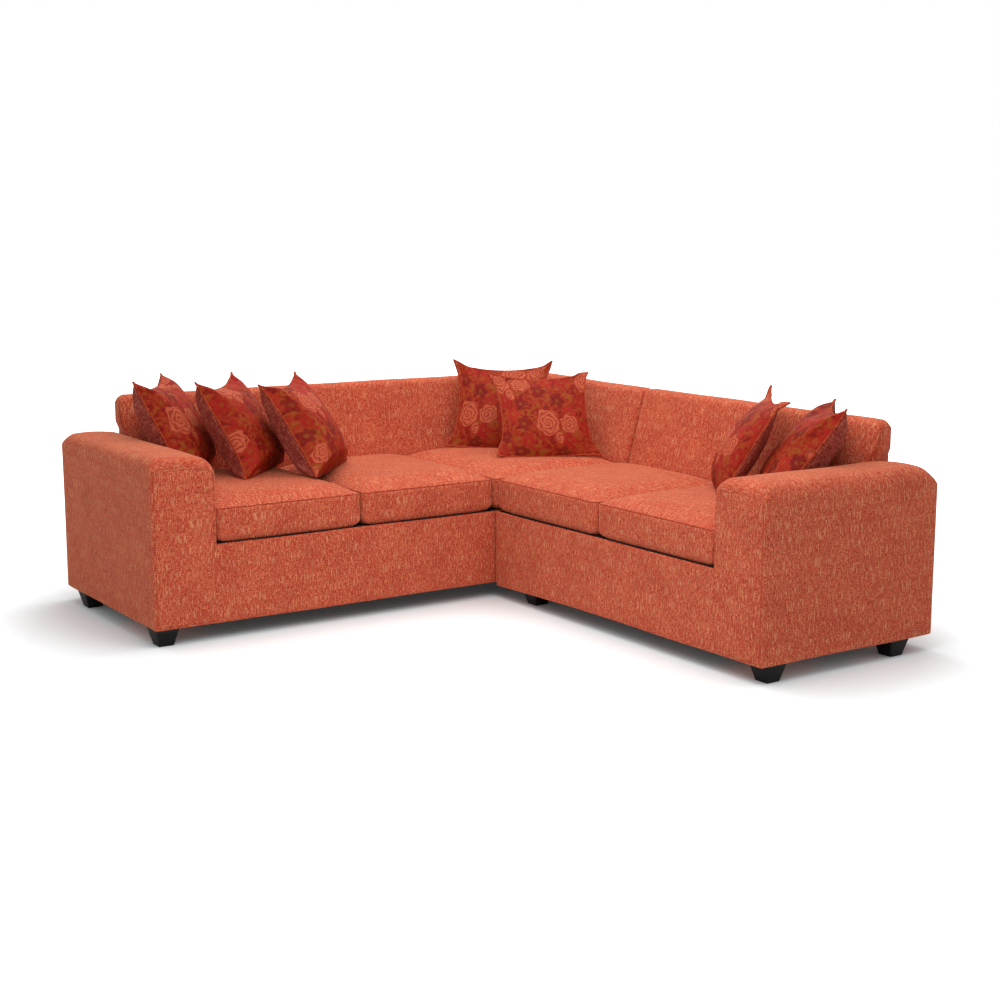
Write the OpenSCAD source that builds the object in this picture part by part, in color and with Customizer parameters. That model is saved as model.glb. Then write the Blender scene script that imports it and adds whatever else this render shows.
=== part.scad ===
// L-shaped corner sofa in two sections that hook together.
// Wing A runs along X and holds the corner seat. Wing B runs from the corner towards -Y.
// Origin: on the floor, at the centre of the rectangle round both wings. +Z is up,
// the rear of wing A faces +Y and the rear of wing B faces +X. Millimetres.

/* [Overall size] */
// Length of wing A, from its outer arm to the rear of wing B
wing_a_length = 2235; // [2150:5:2450]
// Length of wing B, from the rear of wing A to its outer arm
wing_b_length = 2435; // [2350:5:2650]
// Depth of wing A, front to rear
wing_a_depth = 910; // [870:5:960]
// Depth of wing B, front to rear
wing_b_depth = 812; // [780:5:860]
// Gap between the two sections
section_gap = 6; // [5:1:10]

/* [Heights] */
// Height of the legs
leg_height = 60; // [50:1:80]
// Height of the seat deck's upper face
deck_height = 346; // [335:1:370]
// Height of the arms
arm_height = 668; // [655:1:700]
// Height of the backs
back_height = 792; // [780:1:850]

/* [Arms] */
// Width of an arm
arm_width = 240; // [210:5:270]
// Rounding along the two upper edges of an arm
arm_edge_r = 50; // [35:1:60]
// Rounding over the front of an arm
arm_front_r = 38; // [25:1:45]
// Rounding down the rear of an arm
arm_rear_r = 60; // [40:1:70]
// Rounding of an arm's upright corners
arm_corner_r = 14; // [6:1:20]
// Thickness of the foam slab on top of an arm
arm_pad_t = 60; // [45:1:65]
// Distance of the foam slab from the arm's faces
arm_pad_inset = 30; // [28:1:36]
// Height of the cover above the foam slab
arm_pad_cover = 18; // [14:1:24]

/* [Backs] */
// Thickness of a back at seat level
back_seat_t = 160; // [145:1:180]
// Thickness of a back at its top
back_top_t = 75; // [68:1:90]
// Height above the deck where a back starts to lean
back_lean_start = 139; // [120:1:160]
// Rounding of a back's upper edges
back_edge_r = 30; // [22:1:33]
// Distance of a rear panel's upper edge below the top of the back
rear_panel_drop = 42; // [38:1:60]
// Distance of a back's top rail below the top of the back
back_rail_drop = 37; // [34:1:60]

/* [Covers] */
// Thickness of the fabric covers with their wadding
cover_t = 8; // [6:1:10]
// Thickness of the cloth under the sofa
dust_cover_t = 1.5; // [1:0.5:3]
// Rounding of the base panels' outer edges
panel_edge_r = 4; // [2:1:6]

/* [Seat cushions] */
// Thickness of a seat cushion at its border
seat_t = 135; // [125:1:150]
// Rise of a seat cushion's middle above its border
seat_crown = 26; // [18:1:32]
// Distance of a seat cushion from the faces beside it
seat_clear = 1.5; // [1:0.5:3]
// How far a seat cushion's sides draw in between its corners
seat_draw = 3; // [1:1:6]
// Cut-off of a seat cushion's corners, as a share of its half width
seat_corner = 0.05; // [0.03:0.01:0.08]
// Wall of a seat cover round its foam core
seat_wall = 20; // [18:1:24]
// Rounding of a foam core's upright corners
seat_core_r = 45; // [40:1:60]
// Clearance under a loose cushion
rest_clear = 0.4; // [0.3:0.1:0.8]

/* [Scatter cushions] */
// Width of a scatter cushion, tip to tip
scatter_w = 425; // [400:5:440]
// Height of a scatter cushion, tip to tip
scatter_h = 410; // [390:5:420]
// Thickness of a scatter cushion at its middle
scatter_t = 160; // [130:5:165]
// How far a scatter cushion's sides draw in between its tips
scatter_draw = 11; // [6:1:16]
// Wall of a scatter cushion's cover round its filling
scatter_wall = 6; // [5:1:10]
// Clearance between a scatter cushion's cover and its filling
filling_clear = 0.4; // [0.3:0.1:0.8]

// Length of the zip opening in a scatter cushion's lower edge
zip_length = 240; // [180:10:300]
// Width of the zip opening
zip_gap = 1; // [0.6:0.2:2]

/* [Scatter cushion places] */
// Left arm's cushions: middle of the lower edge, from the arm along the wing
left_cushions_along = [199, 424, 652];
// The same, from the rear of the wing
left_cushions_from_rear = [329, 456, 567];
// How far they turn towards the corner, degrees
left_cushions_turn = [51.7, 46.5, 46.5];
// How far they lean back, degrees
left_cushions_lean = [27.2, 30, 31];
// Corner's cushions: from the rear of wing A, along wing B
corner_cushions_along = [422, 755];
// The same, from the rear of wing B
corner_cushions_from_rear = [474, 434];
// How far they turn towards wing A, degrees
corner_cushions_turn = [41.3, 24.1];
// How far they lean back, degrees
corner_cushions_lean = [31.2, 36];
// Right arm's cushions: from the arm along wing B
right_cushions_from_arm = [461, 231];
// The same, from the rear of wing B
right_cushions_from_rear = [395, 371];
// How far they turn from the front of wing A round to the corner, degrees
right_cushions_turn = [130, 128.3];
// How far they lean back, degrees
right_cushions_lean = [31, 36.8];

/* [Timber frame] */
// Thickness of the rails
rail_t = 22; // [18:1:24]
// Height of the rails under the seat
rail_h = 90; // [70:5:100]
// Side of a post
post_t = 35; // [30:1:38]
// Thickness of the leg blocks
block_h = 40; // [30:1:45]
// Side of a leg block
block_w = 64; // [56:1:66]
// Thickness of the arm's boards
arm_board_t = 18; // [12:1:20]

/* [Seat suspension] */
// Thickness of the seat deck's felt and cloth
deck_t = 13; // [8:1:16]
// Thickness of an elastic strap
strap_t = 2; // [1.5:0.5:2.5]
// Width of an elastic strap
strap_w = 70; // [50:5:80]
// Spacing of the straps, centre to centre
strap_step = 130; // [110:5:160]

/* [Legs] */
// Side of a leg at its top
leg_top = 88; // [70:1:92]
// Side of a leg at its foot
leg_foot = 56; // [46:1:60]
// Distance of the leg centres from an arm's outer face
leg_side_inset = 46; // [46:1:60]
// Distance of wing A's front leg centres from its front
leg_front_inset_a = 46; // [46:1:60]
// Distance of wing B's front leg centres from its front
leg_front_inset_b = 72; // [50:1:90]
// Distance of the rear leg centres from the rear
leg_rear_inset = 165; // [150:5:240]
// Distance of wing B's first legs from the joint between the sections
leg_joint_inset = 185; // [150:5:220]
// Distance of the leg under the corner seat from the front of wing B
leg_corner_inset = 325; // [280:5:360]
// Radius of a leg bolt
bolt_r = 4; // [3:0.5:5]
// Radial clearance of a leg bolt in its holes
bolt_clear = 0.1; // [0.05:0.05:0.3]
// Length of a leg bolt
bolt_length = 80; // [70:1:95]

/* [Section links] */
// Thickness of the link plates
link_plate_t = 2; // [1.5:0.5:3]
// Width of a link plate
link_plate_w = 96; // [80:2:100]
// Height of a link plate
link_plate_h = 56; // [50:2:60]
// Width of a link blade
link_blade_w = 36; // [24:2:40]
// Thickness of a link blade
link_blade_t = 2.4; // [2:0.2:3]
// Depth of the blade in its socket
link_depth = 36; // [25:1:42]
// Clearance round a link blade
link_clear = 0.4; // [0.3:0.1:0.6]
// Height of a socket's mouth above the floor
link_height = 230; // [200:5:260]
// Distance of the links from the rear of wing B
link_at = [155, 675];
// How far the sections lift to unhook
link_travel = 50; // [45:1:60]
// Margin round the links in the openings of the joint panels
link_margin = 6; // [4:1:12]
// Radius of a link screw
screw_r = 2; // [1.5:0.25:2.5]
// Length of a link screw
screw_length = 18; // [12:1:20]

/* [Hidden] */
$fn = 32;

TERRACOTTA = "#c4583f";
PINE = "#d2ac74";
FOAM = "#e8dfc4";
FELT = "#8d8478";
BLACK = "#1e1e1a";
STEEL = "#9a9ea3";
BROCADE = "#9c2a1f";
WADDING = "#efece6";

x_left = -wing_a_length / 2;
x_right = wing_a_length / 2;
y_rear = wing_b_length / 2;

// Levels of the base, from the floor up
dust_top = leg_height + dust_cover_t;
bearer_z = dust_top + block_h;
rail_z = bearer_z + rail_t;
strap_z = deck_height - deck_t - 2 * strap_t;
deck_z = deck_height - deck_t;
rear_panel_top = back_height - rear_panel_drop;
back_frame_top = back_height - back_rail_drop;
lean_z = deck_height + back_lean_start;
arm_frame_top = arm_height - arm_pad_t - arm_pad_cover;

// Wing B's share of the length, past the joint
joint_left = wing_a_depth;
joint_right = wing_a_depth + section_gap;
arm_b_start = wing_b_length - arm_width;
post_back = cover_t + post_t;

// Seat zones, in wing coordinates: along from, along to, from the rear from, to
seat_w_a = (wing_a_length - wing_b_depth - arm_width) / 2;
seat_w_b = (arm_b_start - joint_right) / 2;
corner_overhang = 3;
SEAT_A1 = [arm_width, arm_width + seat_w_a, back_seat_t, wing_a_depth];
SEAT_A2 = [arm_width + seat_w_a, arm_width + 2 * seat_w_a, back_seat_t, wing_a_depth];
SEAT_CORNER = [wing_a_length - wing_b_depth, wing_a_length - back_seat_t, back_seat_t,
  wing_a_depth + corner_overhang];
SEAT_B1 = [joint_right - corner_overhang, joint_right + seat_w_b, back_seat_t, wing_b_depth];
SEAT_B2 = [joint_right + seat_w_b, arm_b_start, back_seat_t, wing_b_depth];

// A wing's coordinates run along it, then from its rear to its front
function a_world(p) = [x_left + p[0], y_rear - p[1]];
function b_world(p) = [x_right - p[1], y_rear - p[0]];
module wing_a() { translate([x_left, y_rear, 0]) mirror([0, 1, 0]) children(); }
module wing_b() { translate([x_right, y_rear, 0]) rotate(-90) mirror([0, 1, 0]) children(); }

// A box from its ranges along the wing, from the rear, and in height
module block(s, u, z) {
  translate([s[0], u[0], z[0]]) cube([s[1] - s[0], u[1] - u[0], z[1] - z[0]]);
}

// A profile drawn in distance from the rear and height, carried along the wing
module along(s) {
  translate([s[0], 0, 0]) rotate([90, 0, 90]) linear_extrude(s[1] - s[0]) children();
}

// A profile drawn along the wing and in height, carried from rear to front
module across(u) {
  translate([0, u[1], 0]) rotate([90, 0, 0]) linear_extrude(u[1] - u[0]) children();
}

function arc(c, r, a0, a1, n = 8) =
  [for (i = [0:n]) let (a = a0 + (a1 - a0) * i / n) [c[0] + r * cos(a), c[1] + r * sin(a)]];

// Upright rectangle with its two upper corners rounded
module domed(x0, x1, z0, z1, r0, r1) {
  polygon(concat([[x0, z0], [x1, z0]],
    arc([x1 - r1, z1 - r1], r1, 0, 90), arc([x0 + r0, z1 - r0], r0, 90, 180)));
}

// Section of a panel that is rounded at its outer edges; out is its outer face
module panel_section(inner, outer, z0, z1, r) {
  d = outer > inner ? 1 : -1;
  polygon(concat([[inner, z1], [inner, z0]],
    [for (i = [0:4]) [outer - d * r * (1 - sin(i * 22.5)), z0 + r * (1 - cos(i * 22.5))]],
    [for (i = [0:4]) [outer - d * r * (1 - cos(i * 22.5)), z1 - r * (1 - sin(i * 22.5))]]));
}

// Section of a back: upright to seat level, leaning above it, drawn in by inset all round
module back_section(inset) {
  r = back_edge_r - inset / 2;
  top = back_height - inset;
  polygon(concat(
    [[inset, deck_height], [back_seat_t - inset, deck_height], [back_seat_t - inset, lean_z]],
    arc([back_top_t - inset - r, top - r], r, 0, 90),
    arc([inset + r, top - r], r, 90, 180)));
}

// Plan that ends a back at the corner's mitre: low is its other end
module mitre_plan(low, length) {
  reach = 2 * back_seat_t;
  linear_extrude(2 * back_height)
    polygon([[low, 0], [length, 0], [length - reach, reach], [low, reach]]);
}

module arm_cover(s0, depth) {
  s1 = s0 + arm_width;
  color(TERRACOTTA) difference() {
    intersection() {
      across([0, depth]) domed(s0, s1, leg_height, arm_height, arm_edge_r, arm_edge_r);
      along([s0, s1]) domed(0, depth, leg_height, arm_height, arm_rear_r, arm_front_r);
      translate([0, 0, leg_height]) linear_extrude(arm_height - leg_height)
        rounded_plan([s0, s1], [0, depth], arm_corner_r);
    }
    block([s0 + cover_t, s1 - cover_t], [cover_t, depth - cover_t],
      [leg_height - 1, arm_frame_top]);
    block([s0 + arm_pad_inset, s1 - arm_pad_inset], [arm_pad_inset, depth - arm_pad_inset],
      [arm_frame_top - 1, arm_frame_top + arm_pad_t]);
  }
}

module rounded_plan(s, u, r) {
  polygon(concat(arc([s[1] - r, u[1] - r], r, 0, 90, 4), arc([s[0] + r, u[1] - r], r, 90, 180, 4),
    arc([s[0] + r, u[0] + r], r, 180, 270, 4), arc([s[1] - r, u[0] + r], r, 270, 360, 4)));
}

module arm_pad(s0, depth) {
  color(FOAM) block([s0 + arm_pad_inset, s0 + arm_width - arm_pad_inset],
    [arm_pad_inset, depth - arm_pad_inset],
    [arm_frame_top, arm_frame_top + arm_pad_t]);
}

// Timber inside an arm: two bottom rails, four posts, top board and outer side board
module arm_frame(s0, depth, legs_at) {
  a = s0 + cover_t;
  b = s0 + arm_width - cover_t;
  front = depth - cover_t;
  color(PINE) difference() {
    union() {
      block([a, b], [cover_t, front], [arm_frame_top - arm_board_t, arm_frame_top]);
      for (s = [a, b - post_t]) for (u = [cover_t, front - post_t])
        block([s, s + post_t], [u, u + post_t], [bearer_z, arm_frame_top - arm_board_t]);
      for (s = [a, b - rail_t])
        block([s, s + rail_t], [post_back, front - post_t], [bearer_z, bearer_z + rail_h]);
      for (u = [cover_t, front - rail_t])
        block([a + post_t, b - post_t], [u, u + rail_t], [bearer_z, bearer_z + rail_h]);
      leg_blocks(legs_at, rail_z);
    }
    bolt_holes(legs_at);
  }
}

module leg_blocks(legs_at, top) {
  for (p = legs_at)
    block([p[0] - block_w / 2, p[0] + block_w / 2], [p[1] - block_w / 2, p[1] + block_w / 2],
      [dust_top, top]);
}

module bolt_holes(legs_at) {
  for (p = legs_at)
    translate([p[0], p[1], dust_top - 1]) cylinder(r = bolt_r + bolt_clear, h = rail_z - dust_top + 2);
}

// Timber under the seat of one section, between its two ends
module base_frame(s0, s1, depth, front_legs_u, legs_at, bearers) {
  front = depth - cover_t;
  color(PINE) difference() {
    union() {
      for (u = [post_back, front - rail_t])
        block([s0, s1], [u, u + rail_t], [rail_z, strap_z]);
      for (s = concat([s0, s1 - rail_t], bearers))
        block([s, s + rail_t], [post_back + rail_t, front - rail_t], [strap_z - rail_h, strap_z]);
      for (s = [s0, s1 - rail_t])
        block([s, s + rail_t], [post_back + rail_t, front - rail_t], [rail_z, strap_z]);
      for (u = [leg_rear_inset, front_legs_u])
        block([s0, s1], [u - block_w / 2, u + block_w / 2], [bearer_z, rail_z]);
      leg_blocks(legs_at, bearer_z);
    }
    bolt_holes(legs_at);
  }
}

// Posts and rails of one back, between two ends
module back_frame(s0, s1, posts) {
  color(PINE) {
    for (s = posts)
      block([s, s + post_t], [cover_t, post_back], [bearer_z, back_frame_top - post_t]);
    block([s0, s1], [cover_t, post_back], [back_frame_top - post_t, back_frame_top]);
    for (i = [0:len(posts) - 2])
      block([posts[i] + post_t, posts[i + 1]], [cover_t, post_back], [deck_height, deck_height + post_t]);
  }
}

module back_pad(s0, s1) {
  color(FOAM) difference() {
    along([s0, s1]) back_section(cover_t);
    block([s0 - 1, s1 + 1], [0, post_back], [deck_height - 1, back_frame_top]);
  }
}

// Fabric cover of a back, closed at the ends that are named
module back_cover(s0, s1, cap0, cap1) {
  color(TERRACOTTA) difference() {
    along([s0, s1]) back_section(0);
    along([s0 + (cap0 ? cover_t : -1), s1 - (cap1 ? cover_t : -1)]) back_section(cover_t);
    block([s0 - 1, s1 + 1], [-1, cover_t], [deck_height - 1, rear_panel_top]);
  }
}

// Elastic straps: one layer along the section, one across it, lying on the first
module webbing(s0, s1, depth) {
  across_n = floor((s1 - s0 - strap_w) / strap_step);
  along_n = floor((depth - cover_t - post_back - rail_t * 2 - strap_w) / strap_step);
  color("#3c3c40") {
    for (i = [0:along_n]) {
      u = post_back + rail_t + i * strap_step;
      block([s0, s1], [u, u + strap_w], [strap_z, strap_z + strap_t]);
    }
    for (i = [0:across_n]) {
      s = s0 + i * strap_step;
      block([s, s + strap_w], [post_back, depth - cover_t], [strap_z + strap_t, deck_z]);
    }
  }
}

module seat_deck(s0, s1, depth) {
  color(FELT) block([s0, s1], [post_back, depth - cover_t], [deck_z, deck_height]);
}

// Black cloth under a section: one sheet under its arm, one under its seats
module dust_cover(sheets, depth, holes) {
  color(BLACK) difference() {
    for (s = sheets) block(s, [cover_t, depth - cover_t], [leg_height, dust_top]);
    for (p = holes)
      translate([p[0], p[1], leg_height - 1]) cylinder(r = bolt_r + 1, h = dust_cover_t + 2);
  }
}

// Square tapered leg with a blind hole for its bolt
module leg() {
  t = leg_top / 2;
  f = leg_foot / 2;
  square_pts = [[-1, -1], [1, -1], [1, 1], [-1, 1]];
  difference() {
    polyhedron(
      points = concat([for (p = square_pts) [p[0] * f, p[1] * f, 0]],
        [for (p = square_pts) [p[0] * t, p[1] * t, leg_height]]),
      faces = [[0, 1, 2, 3], [7, 6, 5, 4], [4, 5, 1, 0], [5, 6, 2, 1], [6, 7, 3, 2], [7, 4, 0, 3]]);
    translate([0, 0, bolt_foot()]) cylinder(r = bolt_r + bolt_clear, h = leg_height);
  }
}

function bolt_foot() = rail_z - bolt_length;

module legs(at) {
  color(BLACK) for (p = at) translate([p[0], p[1], 0]) leg();
}

module leg_bolts(at) {
  for (p = at) translate([p[0], p[1], bolt_foot() + rest_clear])
    cylinder(r = bolt_r, h = bolt_length - 2 * rest_clear);
}

// Wood screw with its head at the plate and its point in the rail
module wood_screw() {
  cylinder(r = screw_r, h = screw_length);
  translate([0, 0, -screw_head_t]) cylinder(r = 2 * screw_r, h = screw_head_t);
}

module screw_hole() {
  translate([0, 0, -1]) cylinder(r = screw_r + bolt_clear, h = screw_length + 2);
}

// Places the links and their screws in wing A coordinates, from the left rail's face
link_s = [for (d = link_at) wing_a_length - d];
link_face = joint_left - cover_t;
link_reach = section_gap + 2 * cover_t;
screw_x = link_plate_w / 2 - 9;
screw_head_t = 1.5;
module at_links() { for (s = link_s) translate([s, link_face, 0]) children(); }
module at_screws(u) {
  for (dx = [-screw_x, screw_x]) translate([dx, u, link_height - link_plate_h / 2]) children();
}

// Steel socket: plate on the rail with a pocket that is open at its top
module link_socket() {
  z0 = link_height - link_plate_h;
  wall = link_plate_t;
  pocket = link_blade_t + 2 * link_clear;
  half = link_blade_w / 2 + link_clear;
  difference() {
    union() {
      block([-link_plate_w / 2, link_plate_w / 2], [0, wall], [z0, link_height]);
      block([-half - wall, half + wall], [wall, pocket + 2 * wall], [z0, link_height]);
    }
    block([-half, half], [wall, wall + pocket], [link_height - link_depth - link_clear, link_height + 1]);
    at_screws(wall) rotate([90, 0, 0]) screw_hole();
  }
}

// Steel hook: plate on the other rail, arm over the pocket and blade down into it
module link_hook() {
  reach = link_reach;
  blade = link_plate_t + link_clear;
  arm_z = link_height + link_clear;
  z0 = link_height - link_plate_h;
  difference() {
    union() {
      block([-link_plate_w / 2, link_plate_w / 2], [reach - link_plate_t, reach], [z0, arm_z + link_plate_t]);
      block([-link_blade_w / 2, link_blade_w / 2], [blade, reach], [arm_z, arm_z + link_plate_t]);
      block([-link_blade_w / 2, link_blade_w / 2], [blade, blade + link_blade_t],
        [link_height - link_depth, arm_z]);
    }
    at_screws(link_reach - link_plate_t) rotate([-90, 0, 0]) screw_hole();
  }
}

// Openings in the joint panels that the links pass through
module link_windows(u) {
  for (s = link_s)
    block([s - link_plate_w / 2 - link_margin, s + link_plate_w / 2 + link_margin], u,
      [link_height - link_plate_h - link_margin, link_height + link_travel + 2 * link_margin]);
}

// Leg centres in each wing's coordinates
front_u_a = wing_a_depth - leg_front_inset_a;
front_u_b = wing_b_depth - leg_front_inset_b;
corner_leg_s = wing_a_length - post_back - 3 * bolt_r;
inner_leg_s = wing_a_length - wing_b_depth + leg_corner_inset;
LEGS_A = [[leg_side_inset, front_u_a], [leg_side_inset, leg_rear_inset],
  [arm_width + seat_w_a, leg_rear_inset], [corner_leg_s, leg_rear_inset],
  [inner_leg_s, front_u_a], [corner_leg_s, front_u_a]];
LEGS_B = [[joint_right + leg_joint_inset, front_u_b], [joint_right + leg_joint_inset, leg_rear_inset],
  [wing_b_length - leg_side_inset, front_u_b], [wing_b_length - leg_side_inset, leg_rear_inset]];

// Legs that stand under an arm, and the others
function arm_legs(list, s0) = [for (p = list) if (p[0] > s0 && p[0] < s0 + arm_width) p];
function inner_legs(list, s0) = [for (p = list) if (p[0] < s0 || p[0] > s0 + arm_width) p];

// Left section

left_end = wing_a_length - post_back;
mid_post = arm_width + seat_w_a - post_t / 2;

module left_base_frame() {
  wing_a() difference() {
    base_frame(arm_width, left_end, wing_a_depth, front_u_a, inner_legs(LEGS_A, 0),
      [arm_width + seat_w_a - rail_t / 2, arm_width + 2 * seat_w_a - rail_t / 2]);
    at_links() at_screws(0) rotate([90, 0, 0]) screw_hole();
  }
}
module left_arm_frame() { wing_a() arm_frame(0, wing_a_depth, arm_legs(LEGS_A, 0)); }
module left_back_frame() {
  wing_a() back_frame(arm_width + cover_t, wing_a_length - cover_t,
    [arm_width + cover_t, mid_post, mid_post + seat_w_a, wing_a_length - post_back]);
}
module corner_back_frame() {
  wing_b() back_frame(post_back, joint_left - cover_t,
    [post_back, (joint_left + post_back) / 2, joint_left - post_back]);
}
module left_webbing() { wing_a() webbing(arm_width, left_end, wing_a_depth); }
module left_seat_deck() { wing_a() seat_deck(arm_width, left_end, wing_a_depth); }
module left_arm_pad() { wing_a() arm_pad(0, wing_a_depth); }
module left_back_pad() {
  wing_a() intersection() {
    back_pad(arm_width + cover_t, wing_a_length);
    mitre_plan(arm_width, wing_a_length);
  }
}
module corner_back_pad() {
  wing_b() intersection() {
    back_pad(0, joint_left - cover_t);
    mirrored_mitre(joint_left);
  }
}
module mirrored_mitre(length) {
  reach = 2 * back_seat_t;
  linear_extrude(2 * back_height) polygon([[0, 0], [length, 0], [length, reach], [reach, reach]]);
}
module left_arm_cover() { wing_a() arm_cover(0, wing_a_depth); }
module left_back_cover() {
  wing_a() intersection() {
    back_cover(arm_width, wing_a_length, true, false);
    mitre_plan(arm_width, wing_a_length);
  }
}
module corner_back_cover() {
  wing_b() intersection() {
    back_cover(0, joint_left, false, true);
    mirrored_mitre(joint_left);
  }
}
module left_front_panel() {
  color(TERRACOTTA) wing_a() along([arm_width, wing_a_length - wing_b_depth])
    panel_section(wing_a_depth - cover_t, wing_a_depth, leg_height, deck_height, panel_edge_r);
}
module left_rear_panel() {
  color(TERRACOTTA) wing_a() along([arm_width, wing_a_length])
    panel_section(cover_t, 0, leg_height, rear_panel_top, panel_edge_r);
}
module corner_side_panel() {
  color(TERRACOTTA) wing_b() along([cover_t, joint_left])
    panel_section(cover_t, 0, leg_height, rear_panel_top, panel_edge_r);
}
module left_joint_panel() {
  color(FELT) wing_a() difference() {
    block([wing_a_length - wing_b_depth, wing_a_length - cover_t], [link_face, joint_left],
      [leg_height, deck_height]);
    link_windows([link_face - 1, joint_left + 1]);
  }
}
module left_dust_cover() {
  wing_a() dust_cover([[cover_t, arm_width - cover_t], [arm_width, wing_a_length - cover_t]],
    wing_a_depth, LEGS_A);
}
module left_legs() { wing_a() legs(LEGS_A); }
module left_link_sockets() { color(STEEL) wing_a() at_links() link_socket(); }
module left_fasteners() {
  color(STEEL) wing_a() {
    leg_bolts(LEGS_A);
    at_links() at_screws(link_plate_t) rotate([90, 0, 0]) wood_screw();
  }
}

// Right section

right_start = joint_right + cover_t;

module right_base_frame() {
  difference() {
    wing_b() base_frame(right_start, arm_b_start, wing_b_depth, front_u_b,
      inner_legs(LEGS_B, arm_b_start), [joint_right + seat_w_b - rail_t / 2]);
    wing_a() at_links() at_screws(link_reach) rotate([-90, 0, 0]) screw_hole();
  }
}
module right_arm_frame() {
  wing_b() arm_frame(arm_b_start, wing_b_depth, arm_legs(LEGS_B, arm_b_start));
}
module right_back_frame() {
  wing_b() back_frame(right_start, arm_b_start - cover_t,
    [right_start, joint_right + seat_w_b - post_t / 2, arm_b_start - cover_t - post_t]);
}
module right_webbing() { wing_b() webbing(right_start, arm_b_start, wing_b_depth); }
module right_seat_deck() { wing_b() seat_deck(right_start, arm_b_start, wing_b_depth); }
module right_arm_pad() { wing_b() arm_pad(arm_b_start, wing_b_depth); }
module right_back_pad() { wing_b() back_pad(right_start, arm_b_start - cover_t); }
module right_arm_cover() { wing_b() arm_cover(arm_b_start, wing_b_depth); }
module right_back_cover() { wing_b() back_cover(joint_right, arm_b_start, true, true); }
module right_front_panel() {
  color(TERRACOTTA) wing_b() along([right_start, arm_b_start])
    panel_section(wing_b_depth - cover_t, wing_b_depth, leg_height, deck_height, panel_edge_r);
}
module right_rear_panel() {
  color(TERRACOTTA) wing_b() along([joint_right, arm_b_start])
    panel_section(cover_t, 0, leg_height, rear_panel_top, panel_edge_r);
}
module right_joint_panel() {
  color(TERRACOTTA) difference() {
    wing_b() block([joint_right, right_start], [cover_t, wing_b_depth], [leg_height, deck_height]);
    wing_a() link_windows([joint_right - 1, right_start + 1]);
  }
}
module right_dust_cover() {
  wing_b() dust_cover([[right_start, arm_b_start], [arm_b_start + cover_t, wing_b_length - cover_t]],
    wing_b_depth, LEGS_B);
}
module right_legs() { wing_b() legs(LEGS_B); }
module right_link_hooks() { color(STEEL) wing_a() at_links() link_hook(); }
module right_fasteners() {
  color(STEEL) {
    wing_b() leg_bolts(LEGS_B);
    wing_a() at_links() at_screws(link_reach - link_plate_t) rotate([-90, 0, 0]) wood_screw();
  }
}

// Seat cushions

// A square ring of points, closer together towards its corners
function spread(t) = sin(90 * t);
function square_ring(m) = concat(
  [for (i = [0:m - 1]) [1, spread(2 * i / m - 1)]],
  [for (i = [0:m - 1]) [-spread(2 * i / m - 1), 1]],
  [for (i = [0:m - 1]) [-1, -spread(2 * i / m - 1)]],
  [for (i = [0:m - 1]) [spread(2 * i / m - 1), -1]]);

// Place across half a width: the corner is cut off and the side drawn in
function drawn(a, b, half) =
  a * (half * (1 - seat_corner * pow(abs(b), 12)) - seat_draw * pow(a, 4) * (1 - b * b));

// Height of the crown above the border, at a place given as shares of the half sides
function crown(a, b) = seat_crown * sqrt(max(0, (1 - pow(a, 6)) * (1 - pow(b, 6))));

seat_side_points = 9;
// Sizes of the rings on a seat cushion's crown, from its middle out
crown_rings = [0.35, 0.65, 0.8, 0.89, 0.95, 0.985, 1];
// All its rings from the underside up: size, and height as a share of the border
seat_rings = concat([[0.975, 0], [1, 0.09], [1.004, 0.5]],
  [for (k = [len(crown_rings) - 1:-1:0]) [crown_rings[k], 1]]);

// Centre and half sides of a seat zone in the world
function seat_world(zone, wing) =
  let (p = wing == "a" ? a_world([zone[0], zone[2]]) : b_world([zone[0], zone[2]]),
    q = wing == "a" ? a_world([zone[1], zone[3]]) : b_world([zone[1], zone[3]]))
  [(p[0] + q[0]) / 2, (p[1] + q[1]) / 2,
    abs(p[0] - q[0]) / 2 - seat_clear, abs(p[1] - q[1]) / 2 - seat_clear];

SEATS = [seat_world(SEAT_A1, "a"), seat_world(SEAT_A2, "a"), seat_world(SEAT_CORNER, "a"),
  seat_world(SEAT_B1, "b"), seat_world(SEAT_B2, "b")];

module seat_form(hx, hy) {
  ring = square_ring(seat_side_points);
  n = len(ring);
  rows = len(seat_rings);
  pts = [for (r = seat_rings) for (p = ring)
    let (a = min(r[0], 1) * p[0], b = min(r[0], 1) * p[1], grow = max(r[0], 1))
    [drawn(a, b, hx) * grow, drawn(b, a, hy) * grow, r[1] * seat_t + (r[1] == 1 ? crown(a, b) : 0)]];
  walls = [for (k = [0:rows - 2]) for (i = [0:n - 1]) let (j = (i + 1) % n)
    each [[k * n + i, (k + 1) * n + i, (k + 1) * n + j], [k * n + i, (k + 1) * n + j, k * n + j]]];
  low = rows * n;
  caps = [for (i = [0:n - 1]) let (j = (i + 1) % n)
    each [[low, i, j], [low + 1, (rows - 1) * n + j, (rows - 1) * n + i]]];
  polyhedron(points = concat(pts, [[0, 0, 0], [0, 0, seat_t + seat_crown]]),
    faces = concat(walls, caps));
}

// Room for the foam core inside a seat cover
module seat_core_block(hx, hy) {
  x = hx - seat_wall;
  y = hy - seat_wall;
  translate([0, 0, seat_wall / 2]) linear_extrude(seat_t - seat_wall / 2)
    rounded_plan([-x, x], [-y, y], seat_core_r);
}

module seat_cover(i) {
  s = SEATS[i];
  color(TERRACOTTA) translate([s[0], s[1], deck_height + rest_clear]) difference() {
    seat_form(s[2], s[3]);
    seat_core_block(s[2], s[3]);
  }
}

module seat_core(i) {
  s = SEATS[i];
  color(FOAM) translate([s[0], s[1], deck_height + rest_clear]) seat_core_block(s[2], s[3]);
}

// Scatter cushions

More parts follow.
